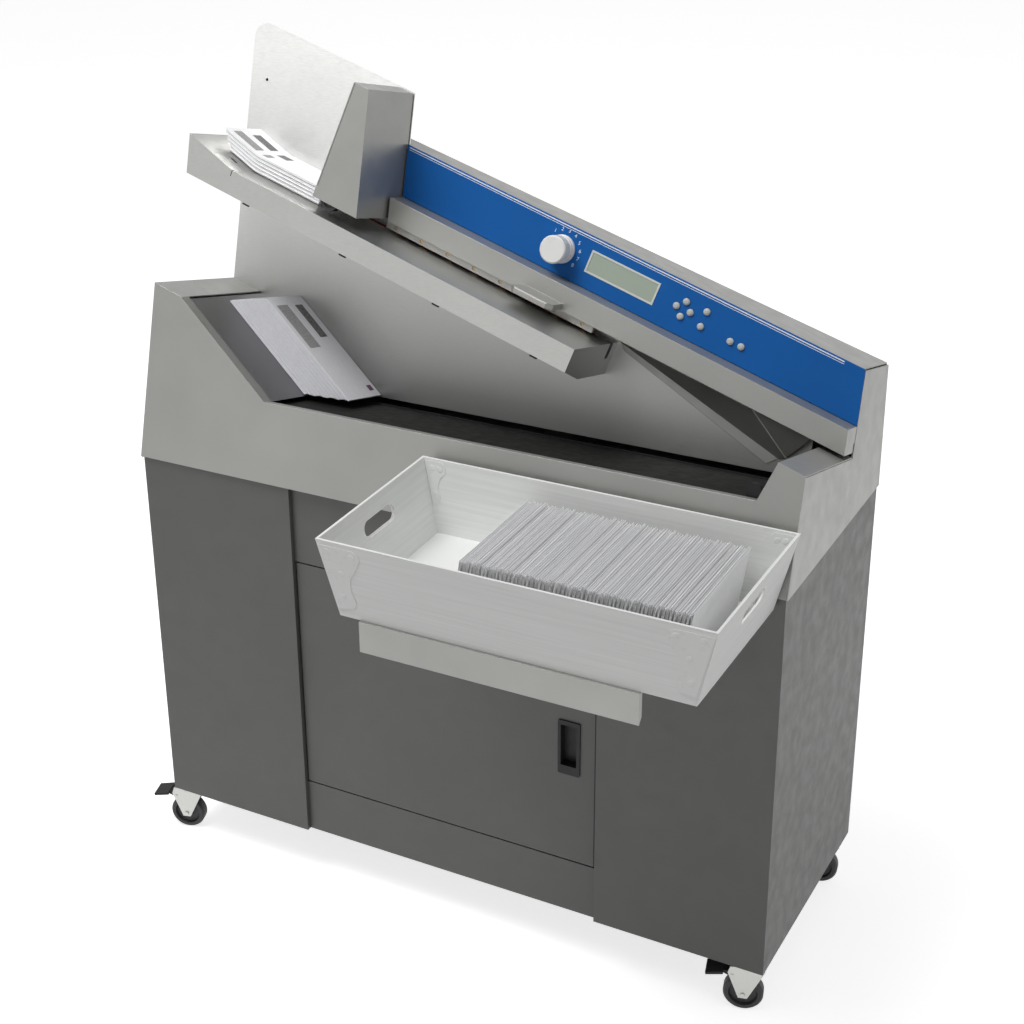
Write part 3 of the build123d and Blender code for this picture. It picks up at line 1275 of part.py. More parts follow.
def pieces():
    """Every node of the machine, drawn about the middle of the cabinet."""
    made = {
        "base_frame": base_frame(),
        "cabinet_shell": cabinet_shell(),
        "door_surround": door_surround(),
        "cabinet_door": cabinet_door(),
        "door_handle": door_handle(),
        "waste_bin": waste_bin(),
        "tray_shelf": tray_shelf(),
        "mail_tray": mail_tray(),
        "tray_mail": tray_mail(),
        "fascia": TILT * fascia(),
        "side_plates": side_plates(),
        "ramp_plate": TILT * ramp_plate(),
        "control_housing": control_housing(),
        "back_plate": TILT * back_plate(),
        "feed_deck": FEED * feed_deck(),
        "transport_belt": FEED * transport_belt(),
        "belt_drive_pulley": FEED * belt_pulley(BELT_S1),
        "belt_idler_pulley": FEED * belt_pulley(BELT_S0),
        "transport_cover": FEED * transport_cover(),
        "feeder_cover": FEED * feeder_cover(),
        "separator_frame": FEED * separator_frame(),
        "feed_roller": FEED * feed_roller(),
        "milling_cutter": FEED * milling_cutter(),
        "drive_motors": drive_motors(),
        "control_panel": FEED * control_panel(),
        "display": FEED * display(),
        "selector_knob": FEED * knob(),
        "electrics": electrics(),
        "conveyor_belt": TILT * conveyor_belt(),
        "conveyor_roller": TILT * conveyor_roller(),
        "conveyor_frame": conveyor_frame(),
        "chute_deflector": TILT * chute_deflector(),
        "output_stack": TILT * output_stack(),
        "feed_stack": FEED * feed_stack(),
    }
    for number, s in enumerate(roller_places(), start=1):
        made[f"transport_roller_{number}"] = FEED * transport_roller(s)
    for name, place in button_places().items():
        made[name] = FEED * button(place)
    for name, place in caster_places().items():
        made[f"caster_fork_{name}"] = at_caster(caster_fork(), place)
        made[f"caster_wheel_{name}"] = at_caster(caster_wheel(), place)
        if name.startswith("f"):
            made[f"brake_pedal_{name}"] = at_caster(brake_pedal(), place)
    return made


def main():
    os.makedirs("parts", exist_ok=True)
    for name, shape in pieces().items():
        export_step(PLACE * shape, f"parts/{name}.step")


if __name__ == "__main__":
    main()
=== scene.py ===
import bmesh
import bpy
import json
from math import atan2, cos, pi, radians, sin, tan
from mathutils import Matrix, Vector


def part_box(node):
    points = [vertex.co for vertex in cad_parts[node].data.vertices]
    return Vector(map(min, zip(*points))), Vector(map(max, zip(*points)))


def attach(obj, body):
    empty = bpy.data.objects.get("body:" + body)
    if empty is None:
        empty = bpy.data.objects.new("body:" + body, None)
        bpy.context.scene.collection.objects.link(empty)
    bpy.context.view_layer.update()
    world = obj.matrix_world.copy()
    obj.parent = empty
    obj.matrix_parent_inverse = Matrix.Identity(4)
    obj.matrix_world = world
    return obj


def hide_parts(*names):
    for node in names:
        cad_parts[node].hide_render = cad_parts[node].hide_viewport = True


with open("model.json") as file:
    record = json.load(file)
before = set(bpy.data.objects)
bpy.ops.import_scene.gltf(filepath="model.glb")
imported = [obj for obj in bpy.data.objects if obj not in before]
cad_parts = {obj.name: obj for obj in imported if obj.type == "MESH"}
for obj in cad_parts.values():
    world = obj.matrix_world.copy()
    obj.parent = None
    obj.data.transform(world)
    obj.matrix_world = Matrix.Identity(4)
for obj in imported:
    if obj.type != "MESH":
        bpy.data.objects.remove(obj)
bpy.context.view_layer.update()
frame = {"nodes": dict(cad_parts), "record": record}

MM = 0.001
NODES = frame["nodes"]

# ---- the frame's places, metres ----
CABINET_LOW, CABINET_HIGH = (Vector(corner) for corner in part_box("cabinet_shell"))
CENTRE = Vector(((CABINET_LOW.x + CABINET_HIGH.x) / 2, (CABINET_LOW.y + CABINET_HIGH.y) / 2, 0))
LEAN = radians(15.5)
SLOPE = radians(17.0)
FASCIA_ORIGIN = CENTRE + Vector((0, -0.2173, 0.7549))
TILT = Matrix.Translation(FASCIA_ORIGIN) @ Matrix.Rotation(-LEAN, 4, "X")
FEED = TILT @ Matrix.Rotation(SLOPE, 4, "Y")
EDGE_RADIUS = 0.0012


# ---- node helpers for materials ----
def new_material(name, base, roughness, metallic=0.0, **inputs):
    """A material with its Principled shader, ready for texture nodes."""
    material = bpy.data.materials.new(name)
    material.use_nodes = True
    shader = material.node_tree.nodes["Principled BSDF"]
    shader.inputs["Base Color"].default_value = (*base, 1)
    shader.inputs["Roughness"].default_value = roughness
    shader.inputs["Metallic"].default_value = metallic
    for key, value in inputs.items():
        shader.inputs[key.replace("_", " ")].default_value = value
    return material


def add(material, kind, **values):
    node = material.node_tree.nodes.new(kind)
    for key, value in values.items():
        if key in node.inputs:
            node.inputs[key].default_value = value
        else:
            setattr(node, key, value)
    return node


def link(material, source, target):
    material.node_tree.links.new(source, target)


def principled(material):
    return material.node_tree.nodes["Principled BSDF"]


def object_space(material, scale=(1, 1, 1)):
    coords = add(material, "ShaderNodeTexCoord")
    mapping = add(material, "ShaderNodeMapping")
    mapping.inputs["Scale"].default_value = scale
    link(material, coords.outputs["Object"], mapping.inputs["Vector"])
    return mapping.outputs["Vector"]


def noise(material, vector, scale, detail=3.0, roughness=0.55):
    node = add(material, "ShaderNodeTexNoise", Scale=scale, Detail=detail, Roughness=roughness)
    link(material, vector, node.inputs["Vector"])
    return node.outputs["Fac"]


def ramp(material, fac, stops):
    node = add(material, "ShaderNodeValToRGB")
    elements = node.color_ramp.elements
    while len(elements) < len(stops):
        elements.new(0.5)
    for element, (position, colour) in zip(elements, stops):
        element.position = position
        element.color = (*colour, 1) if len(colour) == 3 else colour
    link(material, fac, node.inputs["Fac"])
    return node.outputs["Color"]


def span(material, value, low, high, out_low, out_high):
    node = add(material, "ShaderNodeMapRange")
    for key, number in zip(("From Min", "From Max", "To Min", "To Max"), (low, high, out_low, out_high)):
        node.inputs[key].default_value = number
    link(material, value, node.inputs["Value"])
    return node.outputs["Result"]


def bump(material, height, strength, distance, edge_radius=0.0):
    """Surface relief from a texture, over edges that are softened where a radius is given."""
    node = add(material, "ShaderNodeBump", Strength=strength, Distance=distance)
    link(material, height, node.inputs["Height"])
    if edge_radius:
        soft_edge = add(material, "ShaderNodeBevel", samples=4, Radius=edge_radius)
        link(material, soft_edge.outputs["Normal"], node.inputs["Normal"])
    link(material, node.outputs["Normal"], principled(material).inputs["Normal"])


def shade(colour, factor):
    return tuple(min(1.0, channel * factor) for channel in colour)


# ---- materials ----
def powder_coat(name, base, roughness=0.5, metallic=0.0, grain=900.0, depth=0.12, specular=0.5):
    """Fine orange-peel paint with faint cloudy colour change and softened edges."""
    material = new_material(name, base, roughness, metallic, Specular_IOR_Level=specular)
    vector = object_space(material)
    clouds = noise(material, vector, 5.0, 4.0)
    colour = ramp(material, clouds, [(0.3, shade(base, 0.93)), (0.7, shade(base, 1.06))])
    link(material, colour, principled(material).inputs["Base Color"])
    rough = span(material, noise(material, vector, 40.0, 2.0), 0.3, 0.7, roughness - 0.05, roughness + 0.06)
    link(material, rough, principled(material).inputs["Roughness"])
    bump(material, noise(material, vector, grain, 2.0), depth, 0.0004, EDGE_RADIUS)
    return material


def grained_metal(name, base, roughness, grain=(90, 500, 500), cloud=3.0, contrast=0.06):
    """Mill-finished sheet: a fine short grain and soft clouds of brightness."""
    material = new_material(name, base, roughness, 1.0)
    fine = noise(material, object_space(material, grain), 1.0, 4.0, 0.7)
    clouds = noise(material, object_space(material), cloud, 3.0)
    mixed = add(material, "ShaderNodeMath", operation="ADD")
    link(material, fine, mixed.inputs[0])
    link(material, clouds, mixed.inputs[1])
    share = span(material, mixed.outputs["Value"], 0.7, 1.3, 0.0, 1.0)
    colour = ramp(material, share, [(0.1, shade(base, 1 - contrast)), (0.9, shade(base, 1 + contrast))])
    link(material, colour, principled(material).inputs["Base Color"])
    rough = span(material, fine, 0.3, 0.7, roughness - 0.05, roughness + 0.08)
    link(material, rough, principled(material).inputs["Roughness"])
    bump(material, fine, 0.03, 0.0002)
    return material


def graded_metal(name, base, roughness, low_z, high_z, low_share, high_share):
    """Bright sheet with painted light: its tone rises evenly from its foot to its top."""
    material = grained_metal(name, base, roughness)
    split = add(material, "ShaderNodeSeparateXYZ")
    link(material, object_space(material), split.inputs["Vector"])
    # painted light: the colour is scaled from darker at the foot to lighter at the top
    tone = span(material, split.outputs["Z"], low_z, high_z, low_share, high_share)
    scaled = add(material, "ShaderNodeVectorMath", operation="SCALE")
    colour = principled(material).inputs["Base Color"]
    link(material, colour.links[0].from_socket, scaled.inputs[0])
    link(material, tone, scaled.inputs["Scale"])
    link(material, scaled.outputs["Vector"], colour)
    return material


def moulded(name, base, roughness, grain=1200.0, depth=0.1, specular=0.5):
    """Moulded plastic with a fine grain."""
    material = new_material(name, base, roughness, Specular_IOR_Level=specular)
    vector = object_space(material)
    rough = span(material, noise(material, vector, 60.0, 2.0), 0.3, 0.7, roughness - 0.06, roughness + 0.06)
    link(material, rough, principled(material).inputs["Roughness"])
    bump(material, noise(material, vector, grain, 2.0), depth, 0.0002)
    return material


def fluted_board(name, base, roughness):
    """Fluted tray board: long level flutes that show as faint lines."""
    material = new_material(name, base, roughness)
    flutes = noise(material, object_space(material, (4, 4, 260)), 1.0, 3.0, 0.6)
    colour = ramp(material, flutes, [(0.25, shade(base, 0.93)), (0.75, shade(base, 1.05))])
    link(material, colour, principled(material).inputs["Base Color"])
    bump(material, flutes, 0.25, 0.0008)
    return material


def sheet_paper(name, base, roughness):
    """Uncoated paper with faint fibre clouds."""
    material = new_material(name, base, roughness)
    fibres = noise(material, object_space(material), 120.0, 4.0, 0.7)
    colour = ramp(material, fibres, [(0.3, shade(base, 0.96)), (0.7, shade(base, 1.03))])
    link(material, colour, principled(material).inputs["Base Color"])
    bump(material, fibres, 0.06, 0.0002)
    return material


MATERIALS = {
    "cabinet_grey": powder_coat("cabinet_grey", (0.094, 0.095, 0.090), 0.45),
    "body_grey": powder_coat("body_grey", (0.35, 0.35, 0.335), 0.40, metallic=0.55, depth=0.06),
    "frame_zinc": grained_metal("frame_zinc", (0.52, 0.52, 0.50), 0.42),
    "stainless": grained_metal("stainless", (0.50, 0.50, 0.485), 0.34),
    "panel_blue": powder_coat("panel_blue", (0.008, 0.105, 0.37), 0.42, depth=0.04, specular=0.15),
    "screen": moulded("screen", (0.62, 0.64, 0.60), 0.35),
    "knob_silver": moulded("knob_silver", (0.78, 0.78, 0.77), 0.32),
    "button_grey": moulded("button_grey", (0.46, 0.48, 0.47), 0.32),
    "black_plastic": moulded("black_plastic", (0.014, 0.014, 0.015), 0.5, specular=0.3),
    "belt_red": moulded("belt_red", (0.30, 0.016, 0.012), 0.5, specular=0.3),
    "belt_black": moulded("belt_black", (0.010, 0.010, 0.009), 0.62, specular=0.2),
    "roller_brass": grained_metal("roller_brass", (0.35, 0.25, 0.12), 0.35, contrast=0.1),
    "steel": grained_metal("steel", (0.45, 0.45, 0.45), 0.3),
    "wheel_dark": moulded("wheel_dark", (0.022, 0.022, 0.024), 0.5),
    "tray_white": fluted_board("tray_white", (0.76, 0.77, 0.755), 0.5),
    "paper": sheet_paper("paper", (0.90, 0.90, 0.91), 0.7),
}


def dress(obj, material):
    obj.data.materials.clear()
    obj.data.materials.append(material)


for part in frame["record"]["subparts"]:
    dress(NODES[part["node"]], MATERIALS[part["material_slot"]])


def printed_paper(name, base, ink, scale):
    """Paper with faint marks of illegible print."""
    material = new_material(name, base, 0.6)
    marks = noise(material, object_space(material, (scale, scale, scale)), 6.0, 6.0, 0.8)
    colour = ramp(material, marks, [(0.42, ink), (0.6, base)])
    link(material, colour, principled(material).inputs["Base Color"])
    bump(material, marks, 0.05, 0.0002)
    return material


WINDOW_LIGHT = printed_paper("window_light", (0.36, 0.36, 0.36), (0.22, 0.22, 0.22), 60.0)
WINDOW_DARK = printed_paper("window_dark", (0.20, 0.20, 0.20), (0.05, 0.05, 0.05), 60.0)
STAMP_INK = printed_paper("stamp_ink", (0.25, 0.05, 0.06), (0.03, 0.05, 0.16), 200.0)
# painted shade: the output letters' paper is a darker, bluish grey copy of the white paper
OUTPUT_PAPER_PAINTED_SHADE = sheet_paper("output_paper_painted_shade", (0.66, 0.66, 0.69), 0.7)
WHITE_INK = moulded("white_ink", (0.75, 0.78, 0.82), 0.45)
SCREEN_FACE = moulded("screen_face", (0.34, 0.40, 0.33), 0.18)
TRAY_PLATE = moulded("tray_plate", (0.74, 0.75, 0.735), 0.3)

# the tall plate grows lighter from its foot to its top as painted light: heights in metres, then shares of
# its tone
FENCE_HEIGHTS = (0.85, 1.36)
FENCE_PAINTED_LIGHT = (0.58, 1.85)
FENCE_ZINC_PAINTED_LIGHT = graded_metal("fence_zinc_painted_light", (0.50, 0.50, 0.49), 0.40, *FENCE_HEIGHTS, *FENCE_PAINTED_LIGHT)
# painted shade: the ramp plate gets a darker copy of the stainless steel
RAMP_STEEL_PAINTED_SHADE = grained_metal("ramp_steel_painted_shade", (0.34, 0.34, 0.345), 0.36)

dress(NODES["back_plate"], FENCE_ZINC_PAINTED_LIGHT)
dress(NODES["ramp_plate"], RAMP_STEEL_PAINTED_SHADE)
dress(NODES["conveyor_frame"], MATERIALS["black_plastic"])


# ---- mesh helpers ----
def add_piece(name, verts, faces, material, body, frame_matrix=None, smooth=False):
    """A mesh piece given in millimetres of a local frame, riding on a body."""
    mesh = bpy.data.meshes.new(name)
    matrix = frame_matrix or Matrix.Translation(CENTRE)
    mesh.from_pydata([matrix @ (Vector(v) * MM) for v in verts], [], faces)
    obj = bpy.data.objects.new(name, mesh)
    bpy.context.scene.collection.objects.link(obj)
    clean = bmesh.new()
    clean.from_mesh(mesh)
    bmesh.ops.recalc_face_normals(clean, faces=clean.faces)
    clean.to_mesh(mesh)
    clean.free()
    for polygon in mesh.polygons:
        polygon.use_smooth = smooth
    dress(obj, material)
    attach(obj, body)
    return obj


def tube_of_rings(rings, closed_ends=True):
    """Faces and points of a skin over equal rings of points."""
    count = len(rings[0])
    verts = [point for ring in rings for point in ring]
    faces = []
    for i in range(len(rings) - 1):
        for j in range(count):
            a = i * count + j
            b = i * count + (j + 1) % count
            faces.append((a, b, b + count, a + count))
    if closed_ends:
        faces.append(tuple(range(count)))
        faces.append(tuple(range(len(verts) - count, len(verts))))
    return verts, faces


def patch(low, high, lift, steps=16):
    """Points and faces of a strip between two (x, y) corners that follows lift(x)."""
    verts = []
    for i in range(steps + 1):
        x = low[0] + (high[0] - low[0]) * i / steps
        verts.append((x, low[1], lift(x)))
        verts.append((x, high[1], lift(x)))
    faces = [(2 * i, 2 * i + 1, 2 * i + 3, 2 * i + 2) for i in range(steps)]
    return verts, faces


def leaf(x0, x1, y0, y1, thickness, lift, steps=14):
    """A thin envelope lying flat: closed slab whose underside follows lift(x)."""
    rings = []
    edge = 0.35 * thickness
    crease = 1.2
    for i in range(steps + 1):
        x = x0 + (x1 - x0) * i / steps
        z = lift(x)
        rings.append([
            (x, y0, z + edge),
            (x, y0 + crease, z),
            (x, y1 - crease, z),
            (x, y1, z + edge),
            (x, y1, z + thickness - edge),
            (x, y1 - crease, z + thickness),
            (x, y0 + crease, z + thickness),
            (x, y0, z + thickness - edge),
        ])
    return tube_of_rings(rings)


def merged(parts):
    """Joins several (verts, faces) pairs."""
    verts = []
    faces = []
    for part_verts, part_faces in parts:
        start = len(verts)
        verts.extend(part_verts)
        faces.extend(tuple(index + start for index in face) for face in part_faces)
    return verts, faces


def slab(x0, x1, y0, y1, z0, z1, edge=0.2):
    """A closed slab with chamfered long edges."""
    section = [
        (y0 + edge, z0),
        (y1 - edge, z0),
        (y1, z0 + edge),
        (y1, z1 - edge),
        (y1 - edge, z1),
        (y0 + edge, z1),
        (y0, z1 - edge),
        (y0, z0 + edge),
    ]
    return tube_of_rings([[(x, y, z) for y, z in section] for x in (x0, x1)])


# ---- letters, millimetres of the feed and ramp frames ----
ENVELOPE_L = 220.0
ENVELOPE_H = 110.0
PLATE_B = 237.4
DECK_N = 326.5
STACK_GAP = 0.4
FLAP_KINK_S = -593.6
FLAP_RISE = tan(radians(12.6))
FEEDER_S0 = -450.7
FEED_STACK_T = 28.4
RAMP_FOOT = (-330.4, 132.0)
RAMP_HEAD = (-508.5, 276.6)
RAMP_ANGLE = atan2(RAMP_HEAD[1] - RAMP_FOOT[1], RAMP_FOOT[0] - RAMP_HEAD[0])
RAMP = (
    TILT
    @ Matrix.Translation(Vector((RAMP_FOOT[0], 0, RAMP_FOOT[1])) * MM)
    @ Matrix.Rotation(RAMP_ANGLE, 4, "Y")
)
STACK_FRONT = PLATE_B - STACK_GAP - ENVELOPE_H
PRINT_SINK = 0.05


def add_marks(marks, lift, steps, body, matrix):
    """Printed patches that lie on the top letter of a stack."""
    for name, low, high, ink in marks:
        verts, faces = patch(low, high, lift, steps)
        mark = add_piece(name, verts, faces, ink, body, matrix)


def add_feed_letters():
    """Sealed envelopes at the feeder, bent up by the raised flap and fanned at the left end."""
    count = 15
    floor_n = DECK_N + 1.1
    thickness = FEED_STACK_T / count
    leaf_gap = 0.12
    right = FEEDER_S0 - 6.2
    fan = 25
    kink_shift = 6
    parts = []
    for i in range(count):
        share = i / (count - 1)
        left = right - ENVELOPE_L + fan * (1 - share) + 3.0 * abs(sin(7.1 * i))
        kink = FLAP_KINK_S - kink_shift * share

        def lift(x, low=floor_n + i * thickness, bend=kink):
            return low + max(0.0, bend - x) * FLAP_RISE

        front = STACK_FRONT + 1.5 + 1.5 * sin(4.3 * i)
        end = right - 0.6 - 0.6 * sin(3.1 * i)
        parts.append(leaf(left, end, front, PLATE_B - STACK_GAP, thickness - leaf_gap, lift))
    verts, faces = merged(parts)
    letters = add_piece("feed_letters", verts, faces, MATERIALS["paper"], "feed_letters", FEED)
    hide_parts("feed_stack")

    def top(x):
        bent_up = max(0.0, FLAP_KINK_S - kink_shift - x) * FLAP_RISE
        return floor_n + FEED_STACK_T + bent_up - PRINT_SINK

    marks = [
        ("feed_window_light", (-665, 140), (-585, 165), WINDOW_LIGHT),
        ("feed_window_dark", (-655, 185), (-575, 210), WINDOW_DARK),
    ]
    add_marks(marks, top, 16, "feed_letters", FEED)


def add_output_letters():
    """Opened envelopes on the ramp, slid down so that their cut ends lie nearly level."""
    count = 24
    height = 58.0
    seat = -1.7
    lowest_head = -214.5
    lowest_foot = -4.0
    slide_head = 49.0
    slide_foot = 66.0
    pitch = height / count
    leaf_gap = 0.15
    parts = []
    for i in range(count):
        share = (i + 0.5) / count
        low = seat + i * pitch
        ragged = 1.2 * sin(5.3 * i)
        front = STACK_FRONT + 0.5 + 0.5 * sin(3.7 * i)
        head = lowest_head + slide_head * share + ragged
        foot = lowest_foot + slide_foot * share + ragged
        parts.append(leaf(head, foot, front, PLATE_B - STACK_GAP, pitch - leaf_gap, lambda x, z=low: z, 2))
    verts, faces = merged(parts)
    # the output letters wear the paper with painted shade
    letters = add_piece("output_letters", verts, faces, OUTPUT_PAPER_PAINTED_SHADE, "output_letters", RAMP)
    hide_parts("output_stack")
    head = lowest_head + slide_head
    front = STACK_FRONT
    marks = [
        ("output_window_light", (head + 16, front + 13), (head + 112, front + 46), WINDOW_LIGHT),
        ("output_window_dark", (head + 18, front + 68), (head + 92, front + 91), WINDOW_DARK),
        ("output_stamp", (head + 203, front + 86), (head + 215, front + 100), STAMP_INK),
    ]
    add_marks(marks, lambda x: seat + height - PRINT_SINK, 2, "output_letters", RAMP)


# ---- mail tray ----
TRAY_LOW, TRAY_HIGH = ((Vector(corner) - CENTRE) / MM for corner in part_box("mail_tray"))
MAIL_LOW, MAIL_HIGH = ((Vector(corner) - CENTRE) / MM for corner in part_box("tray_mail"))
TRAY_H = TRAY_HIGH.z - TRAY_LOW.z
TRAY_MIDDLE_Y = (TRAY_LOW.y + TRAY_HIGH.y) / 2
TRAY_WALL = 4.0
# how far a wall leans out over the tray's whole height, per millimetre down from the rim
FLARE_X = 28.7 / TRAY_H
FLARE_Y = 12.0 / TRAY_H
# corner plates: (in from the corner, down from the rim); a rivet's rings are (radius, out from the wall)
PLATE_OUT = (0.05, 0.75)
RIVET_RINGS = ((4.6, 0.75), (4.5, 1.0), (3.6, 1.25), (1.6, 1.35))
RIVET_SIDES = 16
OUTER_PLATE = [(1, 8), (57, 8), (65, 12), (66, 21), (52, 40), (38, 58)]
OUTER_PLATE += [(34, 76), (37, 94), (30, 104), (4, 110)]
INNER_PLATE = [(1, 4), (30, 4), (35, 10), (33, 20), (22, 30), (15, 44), (17, 58), (12, 70), (1, 74)]
OUTER_RIVETS = [(14.7, 16.4), (53.8, 18.1), (27.1, 49.5), (17.1, 86.9)]
INNER_RIVETS = [(12, 14), (24, 15), (9, 54)]


def add_corner_plate(name, outline, rivets, corner_x, x_sign, wall_y, material):
    """A riveted plate on a long wall: a runs in from the corner, h down from the rim."""

    def at(a, h, out):
        x = corner_x + x_sign * (FLARE_X * h + a)
        side = -1 if wall_y < TRAY_MIDDLE_Y else 1
        return x, wall_y - side * FLARE_Y * h - out, TRAY_HIGH.z - h

    parts = [tube_of_rings([[at(a, h, out) for a, h in outline] for out in PLATE_OUT])]
    turn = [2 * pi * k / RIVET_SIDES for k in range(RIVET_SIDES)]
    for a, h in rivets:
        rings = []
        for radius, out in RIVET_RINGS:
            rings.append([at(a + radius * cos(t), h + radius * sin(t), out) for t in turn])
        parts.append(tube_of_rings(rings))
    verts, faces = merged(parts)
    add_piece(name, verts, faces, material, "tray")


def add_grommet(name, wall_x, x_sign, material):
    """The thick pale edge round a hand hole of an end wall."""
    radius = 13.0
    half_flat = 30.0
    middle_h = 39.0
    bead = 2.0
    bead_depth = 1.2
    outside = 0.6
    arc_steps = 12
    bead_sides = 8
    path = []
    for side in (1, -1):
        for k in range(arc_steps + 1):
            angle = side * pi / 2 - pi * k / arc_steps
            path.append((side * half_flat + radius * cos(angle), radius * sin(angle)))
    rings = []
    for i, (y, z) in enumerate(path):
        after = path[(i + 1) % len(path)]
        before = path[i - 1]
        heading = Vector((after[0] - before[0], after[1] - before[1])).normalized()
        across = Vector((heading.y, -heading.x))
        ring = []
        for k in range(bead_sides):
            angle = 2 * pi * k / bead_sides
            h = middle_h - z - bead * cos(angle) * across.y
            x = wall_x + x_sign * (FLARE_X * h - bead_depth * sin(angle) + outside)
            ring.append((x, TRAY_MIDDLE_Y + y + bead * cos(angle) * across.x, TRAY_HIGH.z - h))
        rings.append(ring)
    rings.append(rings[0])
    verts, faces = tube_of_rings(rings, closed_ends=False)
    add_piece(name, verts, faces, material, "tray", smooth=True)


def add_tray_fittings():
    """Plates in the four corners of the long walls and an edge round each hand hole."""
    front = TRAY_LOW.y
    back = TRAY_HIGH.y - TRAY_WALL
    ends = (("left", 1, TRAY_LOW.x), ("right", -1, TRAY_HIGH.x))
    for side, x_sign, end_x in ends:
        name = f"tray_plate_front_{side}"
        add_corner_plate(name, OUTER_PLATE, OUTER_RIVETS, end_x, x_sign, front, TRAY_PLATE)
    for side, x_sign, end_x in ends:
        name = f"tray_plate_back_{side}"
        inner_x = end_x + x_sign * TRAY_WALL
        add_corner_plate(name, INNER_PLATE, INNER_RIVETS, inner_x, x_sign, back, TRAY_PLATE)
    for side, x_sign, end_x in ends:
        add_grommet(f"tray_grommet_{side}", end_x, x_sign, MATERIALS["knob_silver"])


def add_tray_letters():
    """Opened envelopes on edge: two thin leaves and a folded sheet in each, leaning right."""
    lean = 14.5
    count = 60
    end_room = 6
    pitch = (MAIL_HIGH.x - MAIL_LOW.x - lean - end_room) / count
    steps = 6
    foot_t = 0.5
    top_t = 0.45
    top_room = 3.2
    sheet_drop = 7.0
    parts = []
    for i in range(count):
        x = MAIL_LOW.x + 0.5 + pitch * i
        wander = sin(2.3 * i) + 0.6 * sin(0.9 * i + 1)
        top = MAIL_HIGH.z - MAIL_LOW.z - top_room - 1.6 * wander
        spread = pitch * (0.42 + 0.14 * sin(1.7 * i))
        y0 = MAIL_LOW.y + 0.6 + 0.8 * abs(sin(1.3 * i))
        y1 = MAIL_HIGH.y - 0.6 - 0.8 * abs(sin(2.9 * i))
        back_drop = 1.2 + 0.8 * sin(3.3 * i)
        for side, drop in ((0, 0.0), (1, back_drop), (0.5, sheet_drop)):
            rings = []
            for k in range(steps + 1):
                y = y0 + (y1 - y0) * k / steps
                wave = 0.5 * sin(3.0 * k / steps + i)
                z_top = MAIL_LOW.z + top - drop
                x_top = x + lean * (top - drop) / top + spread * side + wave
                x_low = x + 0.3 + 0.2 * side
                z_low = MAIL_LOW.z + 0.1
                foot = [(x_low, y, z_low), (x_low + foot_t, y, z_low)]
                rings.append(foot + [(x_top + top_t, y, z_top), (x_top, y, z_top)])
            parts.append(tube_of_rings(rings))
    verts, faces = merged(parts)
    letters = add_piece("tray_letters", verts, faces, MATERIALS["paper"], "tray_letters")
    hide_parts("tray_mail")


# ---- control panel, millimetres of the feed frame ----
PANEL_B = 229.5
KNOB = (-71.6, 421.5)
SCREEN = (40.6, 423.9)
LINES_X = (-238.0, 530.0)
LINES = ((458.6, 1.8), (455.6, 0.9))
INK_OUT = 0.12
INK_IN = 0.1
DIGIT_COUNT = 8
DIGIT_RADIUS = 31.5
DIGIT_HEIGHT = 8.5
DIGIT_START = 135.0
DIGIT_STEP = 23.57


def add_panel_print():
    """Double line along the top of the panel and the digits round the knob."""
    face = PANEL_B - INK_OUT
    parts = []
    for n, thick in LINES:
        s0, s1 = ((x - n * sin(SLOPE)) / cos(SLOPE) for x in LINES_X)
        parts.append(slab(s0, s1, face, PANEL_B + INK_IN, n, n + thick, 0.05))
    verts, faces = merged(parts)
    add_piece("panel_lines", verts, faces, WHITE_INK, "cabinet", FEED)
    for digit in range(1, DIGIT_COUNT + 1):
        angle = radians(DIGIT_START - DIGIT_STEP * (digit - 1))
        curve = bpy.data.curves.new(f"digit_{digit}", "FONT")
        curve.body = str(digit)
        curve.size = DIGIT_HEIGHT * MM
        curve.align_x = "CENTER"
        curve.align_y = "CENTER"
        text = bpy.data.objects.new(f"digit_{digit}", curve)
        bpy.context.scene.collection.objects.link(text)
        s = KNOB[0] + DIGIT_RADIUS * cos(angle)
        n = KNOB[1] + DIGIT_RADIUS * sin(angle)
        place = Vector((s, face, n)) * MM
        text.matrix_world = FEED @ Matrix.Translation(place) @ Matrix.Rotation(pi / 2, 4, "X")
        curve.materials.append(WHITE_INK)
        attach(text, "cabinet")


def add_screen_face():
    """The pale green display area inside its bezel."""
    s, n = SCREEN
    half_w = 59.8
    half_h = 15.3
    out = 0.1
    sunk = 0.3
    verts, faces = slab(s - half_w, s + half_w, PANEL_B - out, PANEL_B + sunk, n - half_h, n + half_h, 0.1)
    add_piece("screen_face", verts, faces, SCREEN_FACE, "cabinet", FEED)


def add_knob_ribs():
    """Fine ribs round the grip of the dial."""
    count = 40
    radius = 22.2
    grip = (19.0, 35.0)
    section = ((-0.7, -0.6), (-0.35, 0.4), (0.35, 0.4), (0.7, -0.6))
    parts = []
    for i in range(count):
        angle = 2 * pi * i / count
        out = Vector((cos(angle), sin(angle)))
        side = Vector((-out.y, out.x))
        ring = []
        for across, rise in section:
            spot = out * (radius + rise) + side * across
            ring.append((KNOB[0] + spot.x, KNOB[1] + spot.y))
        rings = [[(s, PANEL_B - depth, n) for s, n in ring] for depth in grip]
        parts.append(tube_of_rings(rings))
    verts, faces = merged(parts)
    add_piece("knob_ribs", verts, faces, MATERIALS["knob_silver"], "knob", FEED)


# ---- small fittings ----
def add_deck_clips():
    """Dark clips under the lip of the feed table."""
    lip_b = 68.3
    lip_n = 287.8
    half_l = 6
    depths = (lip_b + 0.2, lip_b + 5.0)
    heights = (lip_n - 3.0, lip_n + 1.2)
    parts = []
    for s in (-552.0, -352.0, -168.0, 16.0):
        parts.append(slab(s - half_l, s + half_l, *depths, *heights, 0.6))
    verts, faces = merged(parts)
    clips = add_piece("deck_clips", verts, faces, MATERIALS["black_plastic"], "cabinet", FEED)


